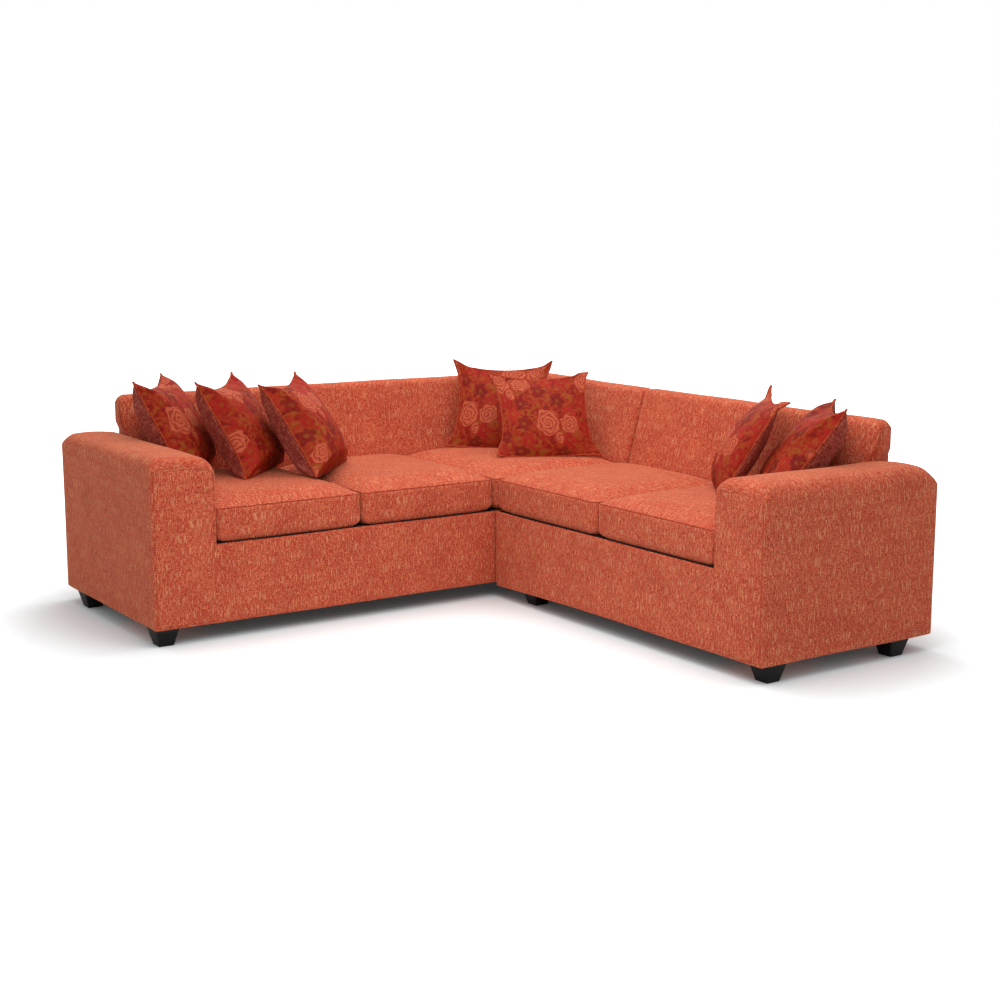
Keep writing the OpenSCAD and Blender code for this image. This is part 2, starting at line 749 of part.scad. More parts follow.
// Each one: middle of its lower edge on the plan, the way it looks from -Y towards -X, its lean
function left_arm_place(i) =
  concat(a_world([arm_width + left_cushions_along[i], left_cushions_from_rear[i]]),
    [-left_cushions_turn[i], left_cushions_lean[i]]);
function corner_place(i) =
  concat(b_world([corner_cushions_along[i], corner_cushions_from_rear[i]]),
    [corner_cushions_turn[i], corner_cushions_lean[i]]);
function right_arm_place(i) =
  concat(b_world([arm_b_start - right_cushions_from_arm[i], right_cushions_from_rear[i]]),
    [right_cushions_turn[i], right_cushions_lean[i]]);
SCATTER = [left_arm_place(0), left_arm_place(1), left_arm_place(2), corner_place(0),
  corner_place(1), right_arm_place(0), right_arm_place(1)];

scatter_n = 10;
filling_n = 6;

// Point of a scatter cushion: a across, b up, side -1 for its face and 1 for its rear
function pillow_point(a, b, side, inset) =
  let (hw = scatter_w / 2 - inset * 3, hh = scatter_h / 2 - inset * 3,
    x = a * (hw - scatter_draw * (1 - b * b)), z = b * (hh - scatter_draw * (1 - a * a)),
    y = side * (scatter_t / 2 - inset) * sqrt(max(0, (1 - a * a) * (1 - b * b))))
  [x, y, z + scatter_h / 2];

module pillow_form(n, inset) {
  function at(i) = spread(2 * i / n - 1);
  function front(i, j) = i * (n + 1) + j;
  function rear(i, j) = i == 0 || j == 0 || i == n || j == n ? front(i, j)
    : (n + 1) * (n + 1) + (i - 1) * (n - 1) + j - 1;
  pts = concat(
    [for (i = [0:n]) for (j = [0:n]) pillow_point(at(i), at(j), -1, inset)],
    [for (i = [1:n - 1]) for (j = [1:n - 1]) pillow_point(at(i), at(j), 1, inset)]);
  // Each cell is split along the diagonal that points at the nearest tip
  function cell(p, q, r, t, flip) = flip ? [[p, q, t], [q, r, t]] : [[p, q, r], [p, r, t]];
  faces = [for (i = [0:n - 1]) for (j = [0:n - 1]) let (flip = (i < n / 2) != (j < n / 2)) each concat(
    cell(front(i, j), front(i, j + 1), front(i + 1, j + 1), front(i + 1, j), flip),
    [for (f = cell(rear(i, j), rear(i, j + 1), rear(i + 1, j + 1), rear(i + 1, j), flip))
      [f[2], f[1], f[0]]])];
  polyhedron(points = pts, faces = faces);
}

// A point of a scatter cushion leaned back and turned to face its way
function leaned(p, lean) =
  [p[0], p[1] * cos(lean) + p[2] * sin(lean), p[2] * cos(lean) - p[1] * sin(lean)];
function turned(p, yaw) =
  [p[0] * cos(yaw) + p[1] * sin(yaw), p[1] * cos(yaw) - p[0] * sin(yaw), p[2]];

// Height of the crown's facets, which run straight from ring to ring
function facet_crown(a, b) =
  let (r = max(abs(a), abs(b)), t = min(abs(a), abs(b)) / max(r, 0.01))
  lookup(r, concat([[0, seat_crown]], [for (k = crown_rings) [k, crown(k, k * t)]]));

// Height of the seat cushions' upper faces at a place on the plan
function share(x, half, other) = x / (half - seat_draw * pow(x / half, 4) * (1 - other * other));
function seat_surface(x, y) = max([for (s = SEATS)
  let (a0 = (x - s[0]) / s[2], b0 = (y - s[1]) / s[3])
  abs(a0) < 1 && abs(b0) < 1
    ? deck_height + rest_clear + seat_t + facet_crown(share(x - s[0], s[2], b0), share(y - s[1], s[3], a0))
    : 0]);

// Height of a scatter cushion's lower edge that just clears the seats under it
function scatter_z(s) = rest_clear + max([
  for (i = [0:scatter_n]) for (j = [0:4]) for (side = [-1, 1])
    let (p = turned(leaned(pillow_point(spread(2 * i / scatter_n - 1), spread(2 * j / scatter_n - 1),
      side, 0), s[3]), s[2]))
    seat_surface(s[0] + p[0], s[1] + p[1]) - p[2]]);

module place_scatter(i) {
  s = SCATTER[i];
  translate([s[0], s[1], scatter_z(s)]) rotate([0, 0, -s[2]]) rotate([-s[3], 0, 0]) children();
}

// Zip opening along the lower edge of a scatter cover
module zip_slit() {
  translate([-zip_length / 2, -zip_gap / 2, 0])
    cube([zip_length, zip_gap, scatter_draw + 6 * scatter_wall]);
}

module scatter_cover(i) {
  color(BROCADE) place_scatter(i) difference() {
    pillow_form(scatter_n, 0);
    pillow_form(filling_n, scatter_wall);
    zip_slit();
  }
}

module scatter_filling(i) {
  color(WADDING) place_scatter(i) pillow_form(filling_n, scatter_wall + filling_clear);
}

left_base_frame();
left_arm_frame();
left_back_frame();
corner_back_frame();
left_webbing();
left_seat_deck();
left_arm_pad();
left_back_pad();
corner_back_pad();
left_arm_cover();
left_back_cover();
corner_back_cover();
left_front_panel();
left_rear_panel();
corner_side_panel();
left_joint_panel();
left_dust_cover();
left_legs();
left_link_sockets();
left_fasteners();
right_base_frame();
right_arm_frame();
right_back_frame();
right_webbing();
right_seat_deck();
right_arm_pad();
right_back_pad();
right_arm_cover();
right_back_cover();
right_front_panel();
right_rear_panel();
right_joint_panel();
right_dust_cover();
right_legs();
right_link_hooks();
right_fasteners();
seat_cover(0);  // seat_cover_a1
seat_core(0);  // seat_core_a1
seat_cover(1);  // seat_cover_a2
seat_core(1);  // seat_core_a2
seat_cover(2);  // seat_cover_corner
seat_core(2);  // seat_core_corner
seat_cover(3);  // seat_cover_b1
seat_core(3);  // seat_core_b1
seat_cover(4);  // seat_cover_b2
seat_core(4);  // seat_core_b2
scatter_cover(0);  // scatter_cover_l1
scatter_filling(0);  // scatter_filling_l1
scatter_cover(1);  // scatter_cover_l2
scatter_filling(1);  // scatter_filling_l2
scatter_cover(2);  // scatter_cover_l3
scatter_filling(2);  // scatter_filling_l3
scatter_cover(3);  // scatter_cover_c1
scatter_filling(3);  // scatter_filling_c1
scatter_cover(4);  // scatter_cover_c2
scatter_filling(4);  // scatter_filling_c2
scatter_cover(5);  // scatter_cover_r1
scatter_filling(5);  // scatter_filling_r1
scatter_cover(6);  // scatter_cover_r2
scatter_filling(6);  // scatter_filling_r2
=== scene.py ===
"""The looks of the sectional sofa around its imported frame.

Lengths in this file are millimetres unless a name ends in _m. Each section is drawn in its own
plan, s along the back and u forwards from it, as in the part's source, and then set in the frame.
"""

import math

import bmesh
import bpy
import numpy as np
from mathutils import Matrix, Vector


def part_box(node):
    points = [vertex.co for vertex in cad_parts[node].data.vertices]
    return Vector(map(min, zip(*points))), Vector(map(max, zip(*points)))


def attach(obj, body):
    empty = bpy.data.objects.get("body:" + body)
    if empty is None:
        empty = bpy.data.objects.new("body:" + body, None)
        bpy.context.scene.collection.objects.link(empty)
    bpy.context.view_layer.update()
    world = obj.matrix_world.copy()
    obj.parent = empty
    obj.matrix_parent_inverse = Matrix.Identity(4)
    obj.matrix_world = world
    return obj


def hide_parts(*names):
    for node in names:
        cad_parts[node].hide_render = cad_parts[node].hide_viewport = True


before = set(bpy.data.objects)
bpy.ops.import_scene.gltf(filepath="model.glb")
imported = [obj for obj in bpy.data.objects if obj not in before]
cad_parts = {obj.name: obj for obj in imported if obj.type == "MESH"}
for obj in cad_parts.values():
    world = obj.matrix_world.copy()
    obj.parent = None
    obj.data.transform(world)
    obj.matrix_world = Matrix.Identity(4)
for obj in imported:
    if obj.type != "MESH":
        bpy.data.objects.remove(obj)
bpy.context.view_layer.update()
scene = bpy.context.scene
MM = 0.001


def box_mm(node):
    """The lowest and highest corner of a CAD node, in millimetres."""
    low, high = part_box(node)
    return np.array(low) / MM, np.array(high) / MM


# Measures
low_corner, high_corner = (np.array(box_mm(n)) for n in ("left_arm_cover", "right_arm_cover"))
X_LEFT, Y_REAR = low_corner[0, 0], low_corner[1, 1]
X_RIGHT = high_corner[1, 0]
WING_A_LENGTH, WING_B_LENGTH = X_RIGHT - X_LEFT, Y_REAR - high_corner[0, 1]
WING_A_DEPTH, WING_B_DEPTH = Y_REAR - low_corner[0, 1], X_RIGHT - high_corner[0, 0]
ARM_WIDTH = 240
# along the right-hand wing: where the left section ends, the right one starts, and its arm starts
SECTION_SPLIT, RIGHT_START, RIGHT_ARM = WING_A_DEPTH, WING_A_DEPTH + 6, WING_B_LENGTH - ARM_WIDTH
BASE_Z, DECK_Z, ARM_Z, BACK_Z = 60, 346, 668, 792
BACK_SEAT_T, BACK_TOP_T, LEAN_Z = 160, 75, 485
REAR_PANEL_TOP = 750
COVER_T, FRONT_T, POST_BACK, RAIL_T, DECK_T, DUST_T = 8, 26, 43, 22, 13, 1.5
STRAP_T, STRAP_W, STRAP_STEP = 2, 70, 130
FELT_PROUD = 1.2                      # how far the felt's face is drawn above the deck
# the links' openings in the two joint panels, along x and in height
LINK_OPENINGS, LINK_OPENING_Z = ((388.5, 496.5), (908.5, 1016.5)), (168.0, 292.0)


# Materials
def linear(code):
    """An sRGB hex code as the linear colour that a node takes."""
    c = np.array([int(code[i:i + 2], 16) for i in (1, 3, 5)]) / 255
    return (*np.where(c <= .04045, c / 12.92, ((c + .055) / 1.055) ** 2.4), 1)


def add(tree, kind, inputs=None, ramp=None, out=0, **settings):
    """One node with its settings; each input is a value or the socket that feeds it. Gives the
    output that out names, or the node where it has none."""
    made = tree.nodes.new("ShaderNode" + kind)
    for name, value in settings.items():
        setattr(made, name, value)
    if ramp:
        stops = made.color_ramp.elements
        while len(stops) < len(ramp):
            stops.new(.5)
        for stop, (place, colour) in zip(stops, ramp):
            stop.position, stop.color = place, colour
    for name, value in (inputs or {}).items():
        socket = made.inputs[name]
        if isinstance(value, bpy.types.NodeSocket):
            tree.links.new(value, socket)
        else:
            socket.default_value = value
    return made.outputs[out] if made.outputs else made


SHADER = {"roughness": "Roughness", "specular": "Specular IOR Level", "metallic": "Metallic",
          "sheen": "Sheen Weight", "sheen_roughness": "Sheen Roughness", "sheen_tint": "Sheen Tint"}


def material(name, **fixed):
    """A node material, its tree and its shader, which is joined to the output. The shader's own
    values are given by the short names in SHADER."""
    made = bpy.data.materials.new(name)
    made.use_nodes = True
    tree = made.node_tree
    tree.nodes.clear()
    shader = add(tree, "BsdfPrincipled").node
    add(tree, "OutputMaterial", {"Surface": shader.outputs[0]})
    for word, value in fixed.items():
        shader.inputs[SHADER[word]].default_value = value
    return made, tree, shader


def thread_noise(tree, where, across_m, along_m, turned=False):
    """Noise drawn out along a thread: one thread is across_m wide and changes every along_m."""
    scale = (1 / along_m, 1 / across_m, 1) if turned else (1 / across_m, 1 / along_m, 1)
    place = add(tree, "Mapping", {"Vector": where, "Scale": scale})
    return add(tree, "TexNoise", {"Vector": place, "Scale": 1.0, "Detail": 2.0, "Roughness": .6})


def finish_with(tree, shader, colour, height, raise_m, strength=.7):
    """Feeds a shader its colour, and its bump from a height of raise_m at 1."""
    bump = add(tree, "Bump", {"Height": height, "Distance": raise_m, "Strength": strength})
    tree.links.new(colour, shader.inputs["Base Color"])
    tree.links.new(bump, shader.inputs["Normal"])


def upholstery():
    """Slubby woven polyester chenille: short crossing yarns of close reds and oranges, thin pale
    slubs that run up the cloth, a soft bloom at grazing angles and no shine."""
    made, tree, shader = material(
        "chenille_upholstery", roughness=.92, specular=.18, sheen=.62, sheen_roughness=.3,
        sheen_tint=linear("#F8BC8E"))
    where = add(tree, "UVMap", uv_map="weave")
    # the yarns are 1.5 to 2 mm thick; they are drawn 3 mm thick, or they don't show from here
    warp = thread_noise(tree, where, .0031, .013)
    weft = thread_noise(tree, where, .0029, .010, turned=True)
    slub = thread_noise(tree, where, .0029, .045)
    slub_weft = thread_noise(tree, where, .0029, .024, turned=True)
    cloud = add(tree, "TexNoise", {"Vector": where, "Scale": 9.0, "Detail": 3.0})
    both = add(tree, "Math", {0: warp, 1: weft}, operation="ADD")
    mottle = add(tree, "Math", {0: both, 1: .45}, operation="MULTIPLY")
    mottle = add(tree, "Math", {0: cloud, 1: .10, 2: mottle}, operation="MULTIPLY_ADD")
    yarn = add(tree, "ValToRGB", {0: mottle}, ramp=[
        (.39, linear("#882C1E")), (.46, linear("#B0402D")), (.53, linear("#C45037")),
        (.60, linear("#E2825C"))])
    pale = add(tree, "ValToRGB", {0: slub}, ramp=[(.56, (0, 0, 0, 1)), (.66, (.7, .7, .7, 1))])
    pale_weft = add(tree, "ValToRGB", {0: slub_weft}, ramp=[
        (.59, (0, 0, 0, 1)), (.69, (.5, .5, .5, 1))])
    pale = add(tree, "Math", {0: pale, 1: pale_weft}, operation="MAXIMUM")
    colour = add(tree, "MixRGB", {0: pale, 1: yarn, 2: linear("#EAA678")})
    lift = add(tree, "Math", {0: pale, 1: mottle}, operation="ADD")
    finish_with(tree, shader, colour, lift, .0011)
    return made


ROSE_REPEAT_M = .297      # side of the brocade's square repeat, which stands on its corner


def blossom(tree, where, centre, size, petals, turns):
    """A flower head drawn by lines. In a disc round centre, r = 1 at size, its edge is scalloped:
    e = r (1 + .09 sin(petals t + 7 r)) < 1. Inside it, petal lines lie where sin(turns e + 2 t)
    is high. Gives how far a point is inside, and how far on a line."""
    local = add(tree, "Mapping", {"Vector": where, "Location": (*centre, 0),
                                  "Scale": (size, size, 1)}, vector_type="TEXTURE")
    flat = add(tree, "VectorMath", {0: local, 1: (1, 1, 0)}, operation="MULTIPLY")
    radius = add(tree, "VectorMath", {0: flat}, out="Value", operation="LENGTH")
    part = add(tree, "SeparateXYZ", {0: flat}).node.outputs
    angle = add(tree, "Math", {0: part[1], 1: part[0]}, operation="ARCTAN2")
    wave = add(tree, "Math", {0: radius, 1: 7.0}, operation="MULTIPLY")
    wave = add(tree, "Math", {0: angle, 1: petals, 2: wave}, operation="MULTIPLY_ADD")
    wave = add(tree, "Math", {0: wave}, operation="SINE")
    wave = add(tree, "Math", {0: wave, 1: .09, 2: 1.0}, operation="MULTIPLY_ADD")
    edge = add(tree, "Math", {0: radius, 1: wave}, operation="MULTIPLY")
    inside = add(tree, "MapRange", {0: edge, 1: 1.0, 2: .92, 3: 0.0, 4: .9})
    twice = add(tree, "Math", {0: angle, 1: 2.0}, operation="MULTIPLY")
    line = add(tree, "Math", {0: edge, 1: turns, 2: twice}, operation="MULTIPLY_ADD")
    line = add(tree, "Math", {0: line}, operation="SINE")
    line = add(tree, "MapRange", {0: line, 1: -.1, 2: .9, 3: 0.0, 4: .85})
    return inside, line


def brocade():
    """Jacquard brocade: a deep red ground mottled with rust and old gold, crimson and maroon
    blossoms scattered 95 mm apart, and pairs of pale salmon roses in a half-drop repeat. The
    figure is raised a little and catches more light than the ground."""
    made, tree, shader = material("brocade_jacquard", roughness=.7, specular=.12)
    where = add(tree, "UVMap", uv_map="weave")
    bend = add(tree, "TexNoise", {"Vector": where, "Scale": 28.0, "Detail": 1.0}, out="Color")
    bend = add(tree, "VectorMath", {0: bend, 1: (.5, .5, .5)}, operation="SUBTRACT")
    bend = add(tree, "VectorMath", {0: bend, 1: (.022, .022, 0)}, operation="MULTIPLY")
    wavy = add(tree, "VectorMath", {0: where, 1: bend}, operation="ADD")
    # ground: leaf-like patches of red, rust and old gold
    patch = add(tree, "TexNoise", {"Vector": where, "Scale": 24.0, "Detail": 3.0,
                                   "Distortion": 1.8})
    colour = add(tree, "ValToRGB", {0: patch}, ramp=[
        (.36, linear("#76150B")), (.47, linear("#94230F")), (.56, linear("#983614")),
        (.68, linear("#8C4816"))])
    # scattered five-petalled blossoms: a petal reaches to .26 + .17 |cos(2.5 t)| of the spacing
    cell = add(tree, "TexVoronoi", {"Vector": wavy, "Scale": 10.5, "Randomness": .8},
               voronoi_dimensions="2D").node.outputs
    local = add(tree, "VectorMath", {0: wavy, 1: cell["Position"]}, operation="SUBTRACT")
    part = add(tree, "SeparateXYZ", {0: local}).node.outputs
    angle = add(tree, "Math", {0: part[1], 1: part[0]}, operation="ARCTAN2")
    petal = add(tree, "Math", {0: angle, 1: 2.5}, operation="MULTIPLY")
    petal = add(tree, "Math", {0: petal}, operation="COSINE")
    petal = add(tree, "Math", {0: petal}, operation="ABSOLUTE")
    reach = add(tree, "Math", {0: petal, 1: .17, 2: .26}, operation="MULTIPLY_ADD")
    inner = add(tree, "Math", {0: reach, 1: cell["Distance"]}, operation="SUBTRACT")
    figure = add(tree, "MapRange", {0: inner, 1: 0.0, 2: .07, 3: 0.0, 4: .75})
    veins = add(tree, "Math", {0: angle, 1: 25.0}, operation="MULTIPLY")
    veins = add(tree, "Math", {0: veins}, operation="SINE")
    tone = add(tree, "SeparateColor", {0: cell["Color"]})
    kind = add(tree, "ValToRGB", {0: tone}, ramp=[
        (.0, linear("#640A08")), (.42, linear("#7C100C")), (.5, linear("#A01814")),
        (1.0, linear("#AE281A"))])
    shade = add(tree, "MapRange", {0: veins, 1: -1.0, 2: 1.0, 3: .0, 4: .3})
    kind = add(tree, "MixRGB", {0: shade, 1: kind, 2: linear("#5C0A08")})
    colour = add(tree, "MixRGB", {0: figure, 1: colour, 2: kind})
    eye = add(tree, "MapRange", {0: cell["Distance"], 1: .10, 2: .07, 3: 0.0, 4: .45})
    colour = add(tree, "MixRGB", {0: eye, 1: colour, 2: linear("#925018")})
    # pairs of roses: the repeat is turned on its corner, wrapped and turned back
    turned = add(tree, "Mapping", {"Vector": wavy, "Rotation": (0, 0, math.pi / 4)})
    half = ROSE_REPEAT_M / 2
    turned = add(tree, "VectorMath", {0: turned, 1: (half, half, half), 2: (-half, -half, -half)},
                 operation="WRAP")
    tile = add(tree, "Mapping", {"Vector": turned, "Rotation": (0, 0, -math.pi / 4)})
    shown = 0.0
    for centre, size, petals, turns in (((-.002, -.066), .024, 3.0, 9.0),
                                        ((.060, -.004), .047, 6.0, 19.0),
                                        ((-.048, .002), .060, 5.0, 22.0)):
        seen, drawn = blossom(tree, tile, centre, size, petals, turns)
        salmon = add(tree, "MixRGB", {0: drawn, 1: linear("#BE583A"), 2: linear("#82281A")})
        colour = add(tree, "MixRGB", {0: seen, 1: colour, 2: salmon})
        shown = add(tree, "Math", {0: seen, 1: shown}, operation="MAXIMUM")
    # the warp, drawn coarser than its half millimetre so that it shows
    warp = thread_noise(tree, where, .0018, .006)
    weft = thread_noise(tree, where, .0018, .006, turned=True)
    threads = add(tree, "Math", {0: warp, 1: weft}, operation="ADD")
    grain = add(tree, "MapRange", {0: threads, 1: .8, 2: 1.2, 3: .8, 4: 1.2})
    colour = add(tree, "VectorMath", {0: colour, 3: grain}, operation="SCALE")
    raised = add(tree, "Math", {0: shown, 1: threads}, operation="ADD")
    finish_with(tree, shader, colour, raised, .001)
    return made


def plain_cloth(name, dark, mid, pale, thread_m=.0025, sheen=.1):
    """Plain woven cloth: fine crossing threads in three close tones."""
    made, tree, shader = material(name, roughness=.9, specular=.12, sheen=sheen,
                                  sheen_tint=linear(pale))
    where = add(tree, "UVMap", uv_map="weave")
    warp = thread_noise(tree, where, thread_m, thread_m * 8)
    weft = thread_noise(tree, where, thread_m, thread_m * 8, turned=True)
    both = add(tree, "Math", {0: warp, 1: weft}, operation="ADD")
    half = add(tree, "Math", {0: both, 1: .5}, operation="MULTIPLY")
    colour = add(tree, "ValToRGB", {0: half}, ramp=[
        (.38, linear(dark)), (.5, linear(mid)), (.62, linear(pale))])
    finish_with(tree, shader, colour, half, .001)
    return made


def grained(name, dark, pale, size_m, stretch=(1, 1, 1), bump=.0004, **fixed):
    """A solid stock on the object's own coordinates: two close tones in grain of one real size,
    drawn out along one axis for wood, with the same grain in its height."""
    made, tree, shader = material(name, **fixed)
    where = add(tree, "TexCoord", out="Object")
    place = add(tree, "Mapping", {"Vector": where, "Scale": tuple(k / size_m for k in stretch)})
    grain = add(tree, "TexNoise", {"Vector": place, "Scale": 1.0, "Detail": 4.0})
    colour = add(tree, "ValToRGB", {0: grain}, ramp=[(.35, linear(dark)), (.65, linear(pale))])
    finish_with(tree, shader, colour, grain, bump, .6)
    return made


chenille = upholstery()
jacquard = brocade()
# twill: a dusty, slightly purple maroon with fine threads
maroon_cloth = plain_cloth("maroon_twill_back", "#6E2C26", "#964438", "#BC7460", .0035)
# cord covered in the brocade's rust, darker where its wrapping folds
welt_cloth = plain_cloth("rust_cord_welt", "#7A2416", "#A23A22", "#C06440", sheen=0.0)
# stitching sunk between two folds of the seat covers: a dark red line, partly the thread's own
# colour and partly painted shade of the sunk seam
thread_and_seam_shade = plain_cloth("sunk_seam_and_painted_shade", "#742618", "#923624", "#AA4A34", sheen=.2)
# a plain seam of the arms and backs: hardly darker than the chenille beside it, that darkening
# partly painted shade of its groove
seam_line_and_shade = plain_cloth("plain_seam_and_painted_shade", "#8A3422", "#A54430", "#B85A42", sheen=.4)
# spunbond polypropylene: thin, black and dull
lining_cloth = plain_cloth("spunbond_dust_cloth", "#1C1B1A", "#242322", "#2E2C2B")
# needled felt of dark waste fibre with no thread runs, coloured nearly black as painted shade where
# it shows in the gaps under the seat cushions
deck_felt = plain_cloth("needled_felt_with_painted_shade", "#1E1412", "#281C1A", "#34262A")
# beech under black lacquer: grain barely shows and edges catch a soft gloss
black_lacquer = grained("black_lacquered_beech", "#060606", "#0C0C0A", .0012, (1, 1, .12),
                        roughness=.55, specular=.2)
# sawn softwood: two close honey tones, dull from the saw
pine = grained("sawn_pine", "#B98B55", "#D8B27C", .004, roughness=.7)
# zinc plating: a grey, half-bright metal with hardly any grain
zinc_steel = grained("zinc_plated_steel", "#9A9C9C", "#B4B6B4", .002, bump=.00005, roughness=.38,
                     metallic=1.0)
# elastic straps: rubber threads under black polypropylene, ribbed along
strap_weave = plain_cloth("elastic_webbing", "#2E2E31", "#3C3C40", "#56565A", .003)


# Making a mesh
def on_wing_a(p):
    """Plan (s, u, z) of the left-hand wing in the frame: s runs right, u runs forwards."""
    return np.stack([X_LEFT + p[..., 0], Y_REAR - p[..., 1], p[..., 2]], -1)


def on_wing_b(p):
    """Plan (s, u, z) of the right-hand wing in the frame: s runs forwards, u runs left."""
    return np.stack([X_RIGHT - p[..., 1], Y_REAR - p[..., 0], p[..., 2]], -1)


def sewn(name, sheets, materials, smooth=True):
    """Sheets of points sewn into one mesh. A sheet is a grid of points (rows, columns, 3) with
    its weave map (rows, columns, 2) and the number of its material; neighbouring points make the
    faces, and edges that fall on one another are joined."""
    points, maps, quads, finish, start = [], [], [], [], 0
    for grid, weave, number in sheets:
        rows, columns = grid.shape[:2]
        index = np.arange(rows * columns).reshape(rows, columns) + start
        faces = np.stack([index[:-1, :-1], index[:-1, 1:], index[1:, 1:], index[1:, :-1]], -1)
        points.append(grid.reshape(-1, 3))
        maps.append(weave.reshape(-1, 2))
        quads.append(faces.reshape(-1, 4))
        finish.append(np.full(len(quads[-1]), number))
        start += rows * columns
    points, maps, quads = (np.concatenate(x) for x in (points, maps, quads))
    mesh = bpy.data.meshes.new(name)
    mesh.from_pydata((points * MM).tolist(), [], quads.tolist())
    layer = mesh.uv_layers.new(name="weave")
    layer.uv.foreach_set("vector", (maps[quads.ravel()] * MM).astype(np.float32).ravel())
    for m in materials:
        mesh.materials.append(m)
    mesh.polygons.foreach_set("material_index", np.concatenate(finish).astype(np.int32))
    mesh.polygons.foreach_set("use_smooth", np.full(len(quads), smooth))
    shell = bmesh.new()
    shell.from_mesh(mesh)
    bmesh.ops.remove_doubles(shell, verts=shell.verts, dist=2e-5)
    bmesh.ops.recalc_face_normals(shell, faces=shell.faces)
    shell.to_mesh(mesh)
    shell.free()
    piece = bpy.data.objects.new(name, mesh)
    scene.collection.objects.link(piece)
    return piece


def stand_for(piece, body, slot, *nodes):
    """Sets a piece on the body it rides and hides the CAD nodes that it stands for. slot, its
    finish's slot, is not used.
    """
    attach(piece, body)
    if nodes:
        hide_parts(*nodes)
    return piece


def outline(corners, radii, spacing=24, turn_points=9):
    """A closed outline through rounded corners: straight runs set with points about one spacing
    apart, and each corner an arc between its two tangent points. Gives points and their outward
    directions; the last point repeats the first."""
    corners = np.array(corners, float)
    swing = np.linspace(0, 1, turn_points)[:, None]
    arcs, points, normals = [], [], []
    for i, (here, radius) in enumerate(zip(corners, radii)):
        a, b = corners[i - 1] - here, corners[(i + 1) % len(corners)] - here
        a, b = a / np.linalg.norm(a), b / np.linalg.norm(b)
        half = math.acos(np.clip(a @ b, -1, 1)) / 2
        cut = radius / math.tan(half)
        middle = here + (a + b) / np.linalg.norm(a + b) * radius / math.sin(half)
        start, end = here + a * cut - middle, here + b * cut - middle
        whole = math.pi - 2 * half
        arc = (np.sin((1 - swing) * whole) * start + np.sin(swing * whole) * end) / math.sin(whole)
        arcs.append((middle + arc, arc / radius))
    for (arc, facing), (next_arc, _) in zip(arcs, arcs[1:] + arcs[:1]):
        run = next_arc[0] - arc[-1]
        steps = max(2, int(np.linalg.norm(run) / spacing))
        share = np.linspace(0, 1, steps + 1)[1:-1, None]
        points += [arc, arc[-1] + run * share]
        normals += [facing, np.repeat(facing[-1:], len(share), 0)]
    return np.concatenate([*points, points[0][:1]]), np.concatenate([*normals, normals[0][:1]])


def length_along(ring):
    """Distance along an outline up to each of its points."""
    return np.concatenate([[0], np.cumsum(np.linalg.norm(np.diff(ring, axis=0), axis=1))])


def ripple(along, around):
    """Slow unevenness of cloth over padding: two crossing sine waves that bend one another."""
    return (np.sin(along / 97 + 1.4 * np.sin(around / 131 + 2))
            + .8 * np.sin(around / 73 + 1.7 * np.sin(along / 160)))


def drawn_in(ring, normals, inset):
    """An outline moved inwards by an inset for each point. Where that is more than a corner's
    radius the corner stays square, or it would cross itself."""
    inset = np.asarray(inset)[..., None]
    return np.clip(ring - normals * inset, ring.min(0) + inset, ring.max(0) - inset)


ROLL_ROWS = 9             # rows of points round a rolled end
SEAM_W, SEAM_DEPTH = 1.6, .8      # width of a seam, and how deep it is against its groove


def bolster(ring, normals, start, end, start_roll, end_roll, rows, puff=3.0, groove=2.2,
            uneven=.9):
    """A padded block: an outline carried from start to end along the third axis, rolled in at
    both ends by a quarter circle of the given radius at each point, then closed by an end panel
    that swells by puff (1 - x^4)(1 - y^4). Where roll meets panel a narrow seam sinks by groove.
    Gives sheets of points with the outline's two axes first, their weave map and material."""
    quarter = np.linspace(0, 1, ROLL_ROWS)[:, None] * math.pi / 2
    run = length_along(ring)

    def rolled(edge, roll, side):
        """Rows of one rolled end, from the straight part out to the seam."""
        inset = roll * (1 - np.cos(quarter))
        inset[-1] += groove
        at = edge - side * roll * (1 - np.sin(quarter))
        at[-1] -= side * groove * SEAM_DEPTH
        unrolled = edge - side * roll + side * roll * quarter
        return drawn_in(ring, normals, inset), at, unrolled

    near, near_at, near_run = rolled(start, start_roll, -1)
    far, far_at, far_run = rolled(end, end_roll, 1)
    share = np.linspace(0, 1, rows + 2)[1:-1, None]
    straight = near_at[0] + (far_at[0] - near_at[0]) * share
    flat = np.concatenate([near[::-1], np.repeat(ring[None], rows, 0), far])
    at = np.concatenate([near_at[::-1], straight, far_at])
    unrolled = np.concatenate([near_run[::-1], straight, far_run])
    weave = np.stack([unrolled, np.broadcast_to(run, unrolled.shape)], -1)
    calm = np.clip(np.minimum(at - start, end - at) / 60, 0, 1)
    flat = flat + normals[None] * (uneven * calm * ripple(at, run[None]))[..., None]
    flat[:, -1] = flat[:, 0]
    sheets = [(np.concatenate([flat, at[..., None]], -1), weave, 0)]
    for edge, rim, roll, side in ((start, near[-1], start_roll, -1), (end, far[-1], end_roll, 1)):
        # the panel's points run in from the rim to a line along its middle
        low, high = rim.min(0), rim.max(0)
        reach = (high - low).min() / 2
        middle = np.clip(rim, low + reach, high - reach)
        sunk = drawn_in(ring, normals, roll + groove + SEAM_W)
        share = np.array([0, .06, .15, .3, .5, .7, .85, 1])[:, None, None]
        flat = np.concatenate([rim[None], sunk[None] + (middle - sunk)[None] * share])
        off = np.abs((flat - (low + high) / 2) / (high - low) * 2)
        swell = np.clip((1 - off[..., 0] ** 4) * (1 - off[..., 1] ** 4), 0, 1)
        swell *= 1 - (1 - np.concatenate([[[0]], share[:, 0]])) ** 4
        level = edge + side * puff * swell
        level[0] -= side * groove * SEAM_DEPTH
        grid = np.concatenate([flat, level[..., None]], -1)
        # the seam strip takes the piece's second material where it has one: a darker seam cloth,
        # partly painted shade of the groove
        sheets += [(grid[:2].copy(), flat[:2], 1), (grid[1:], flat[1:], 0)]
    return sheets


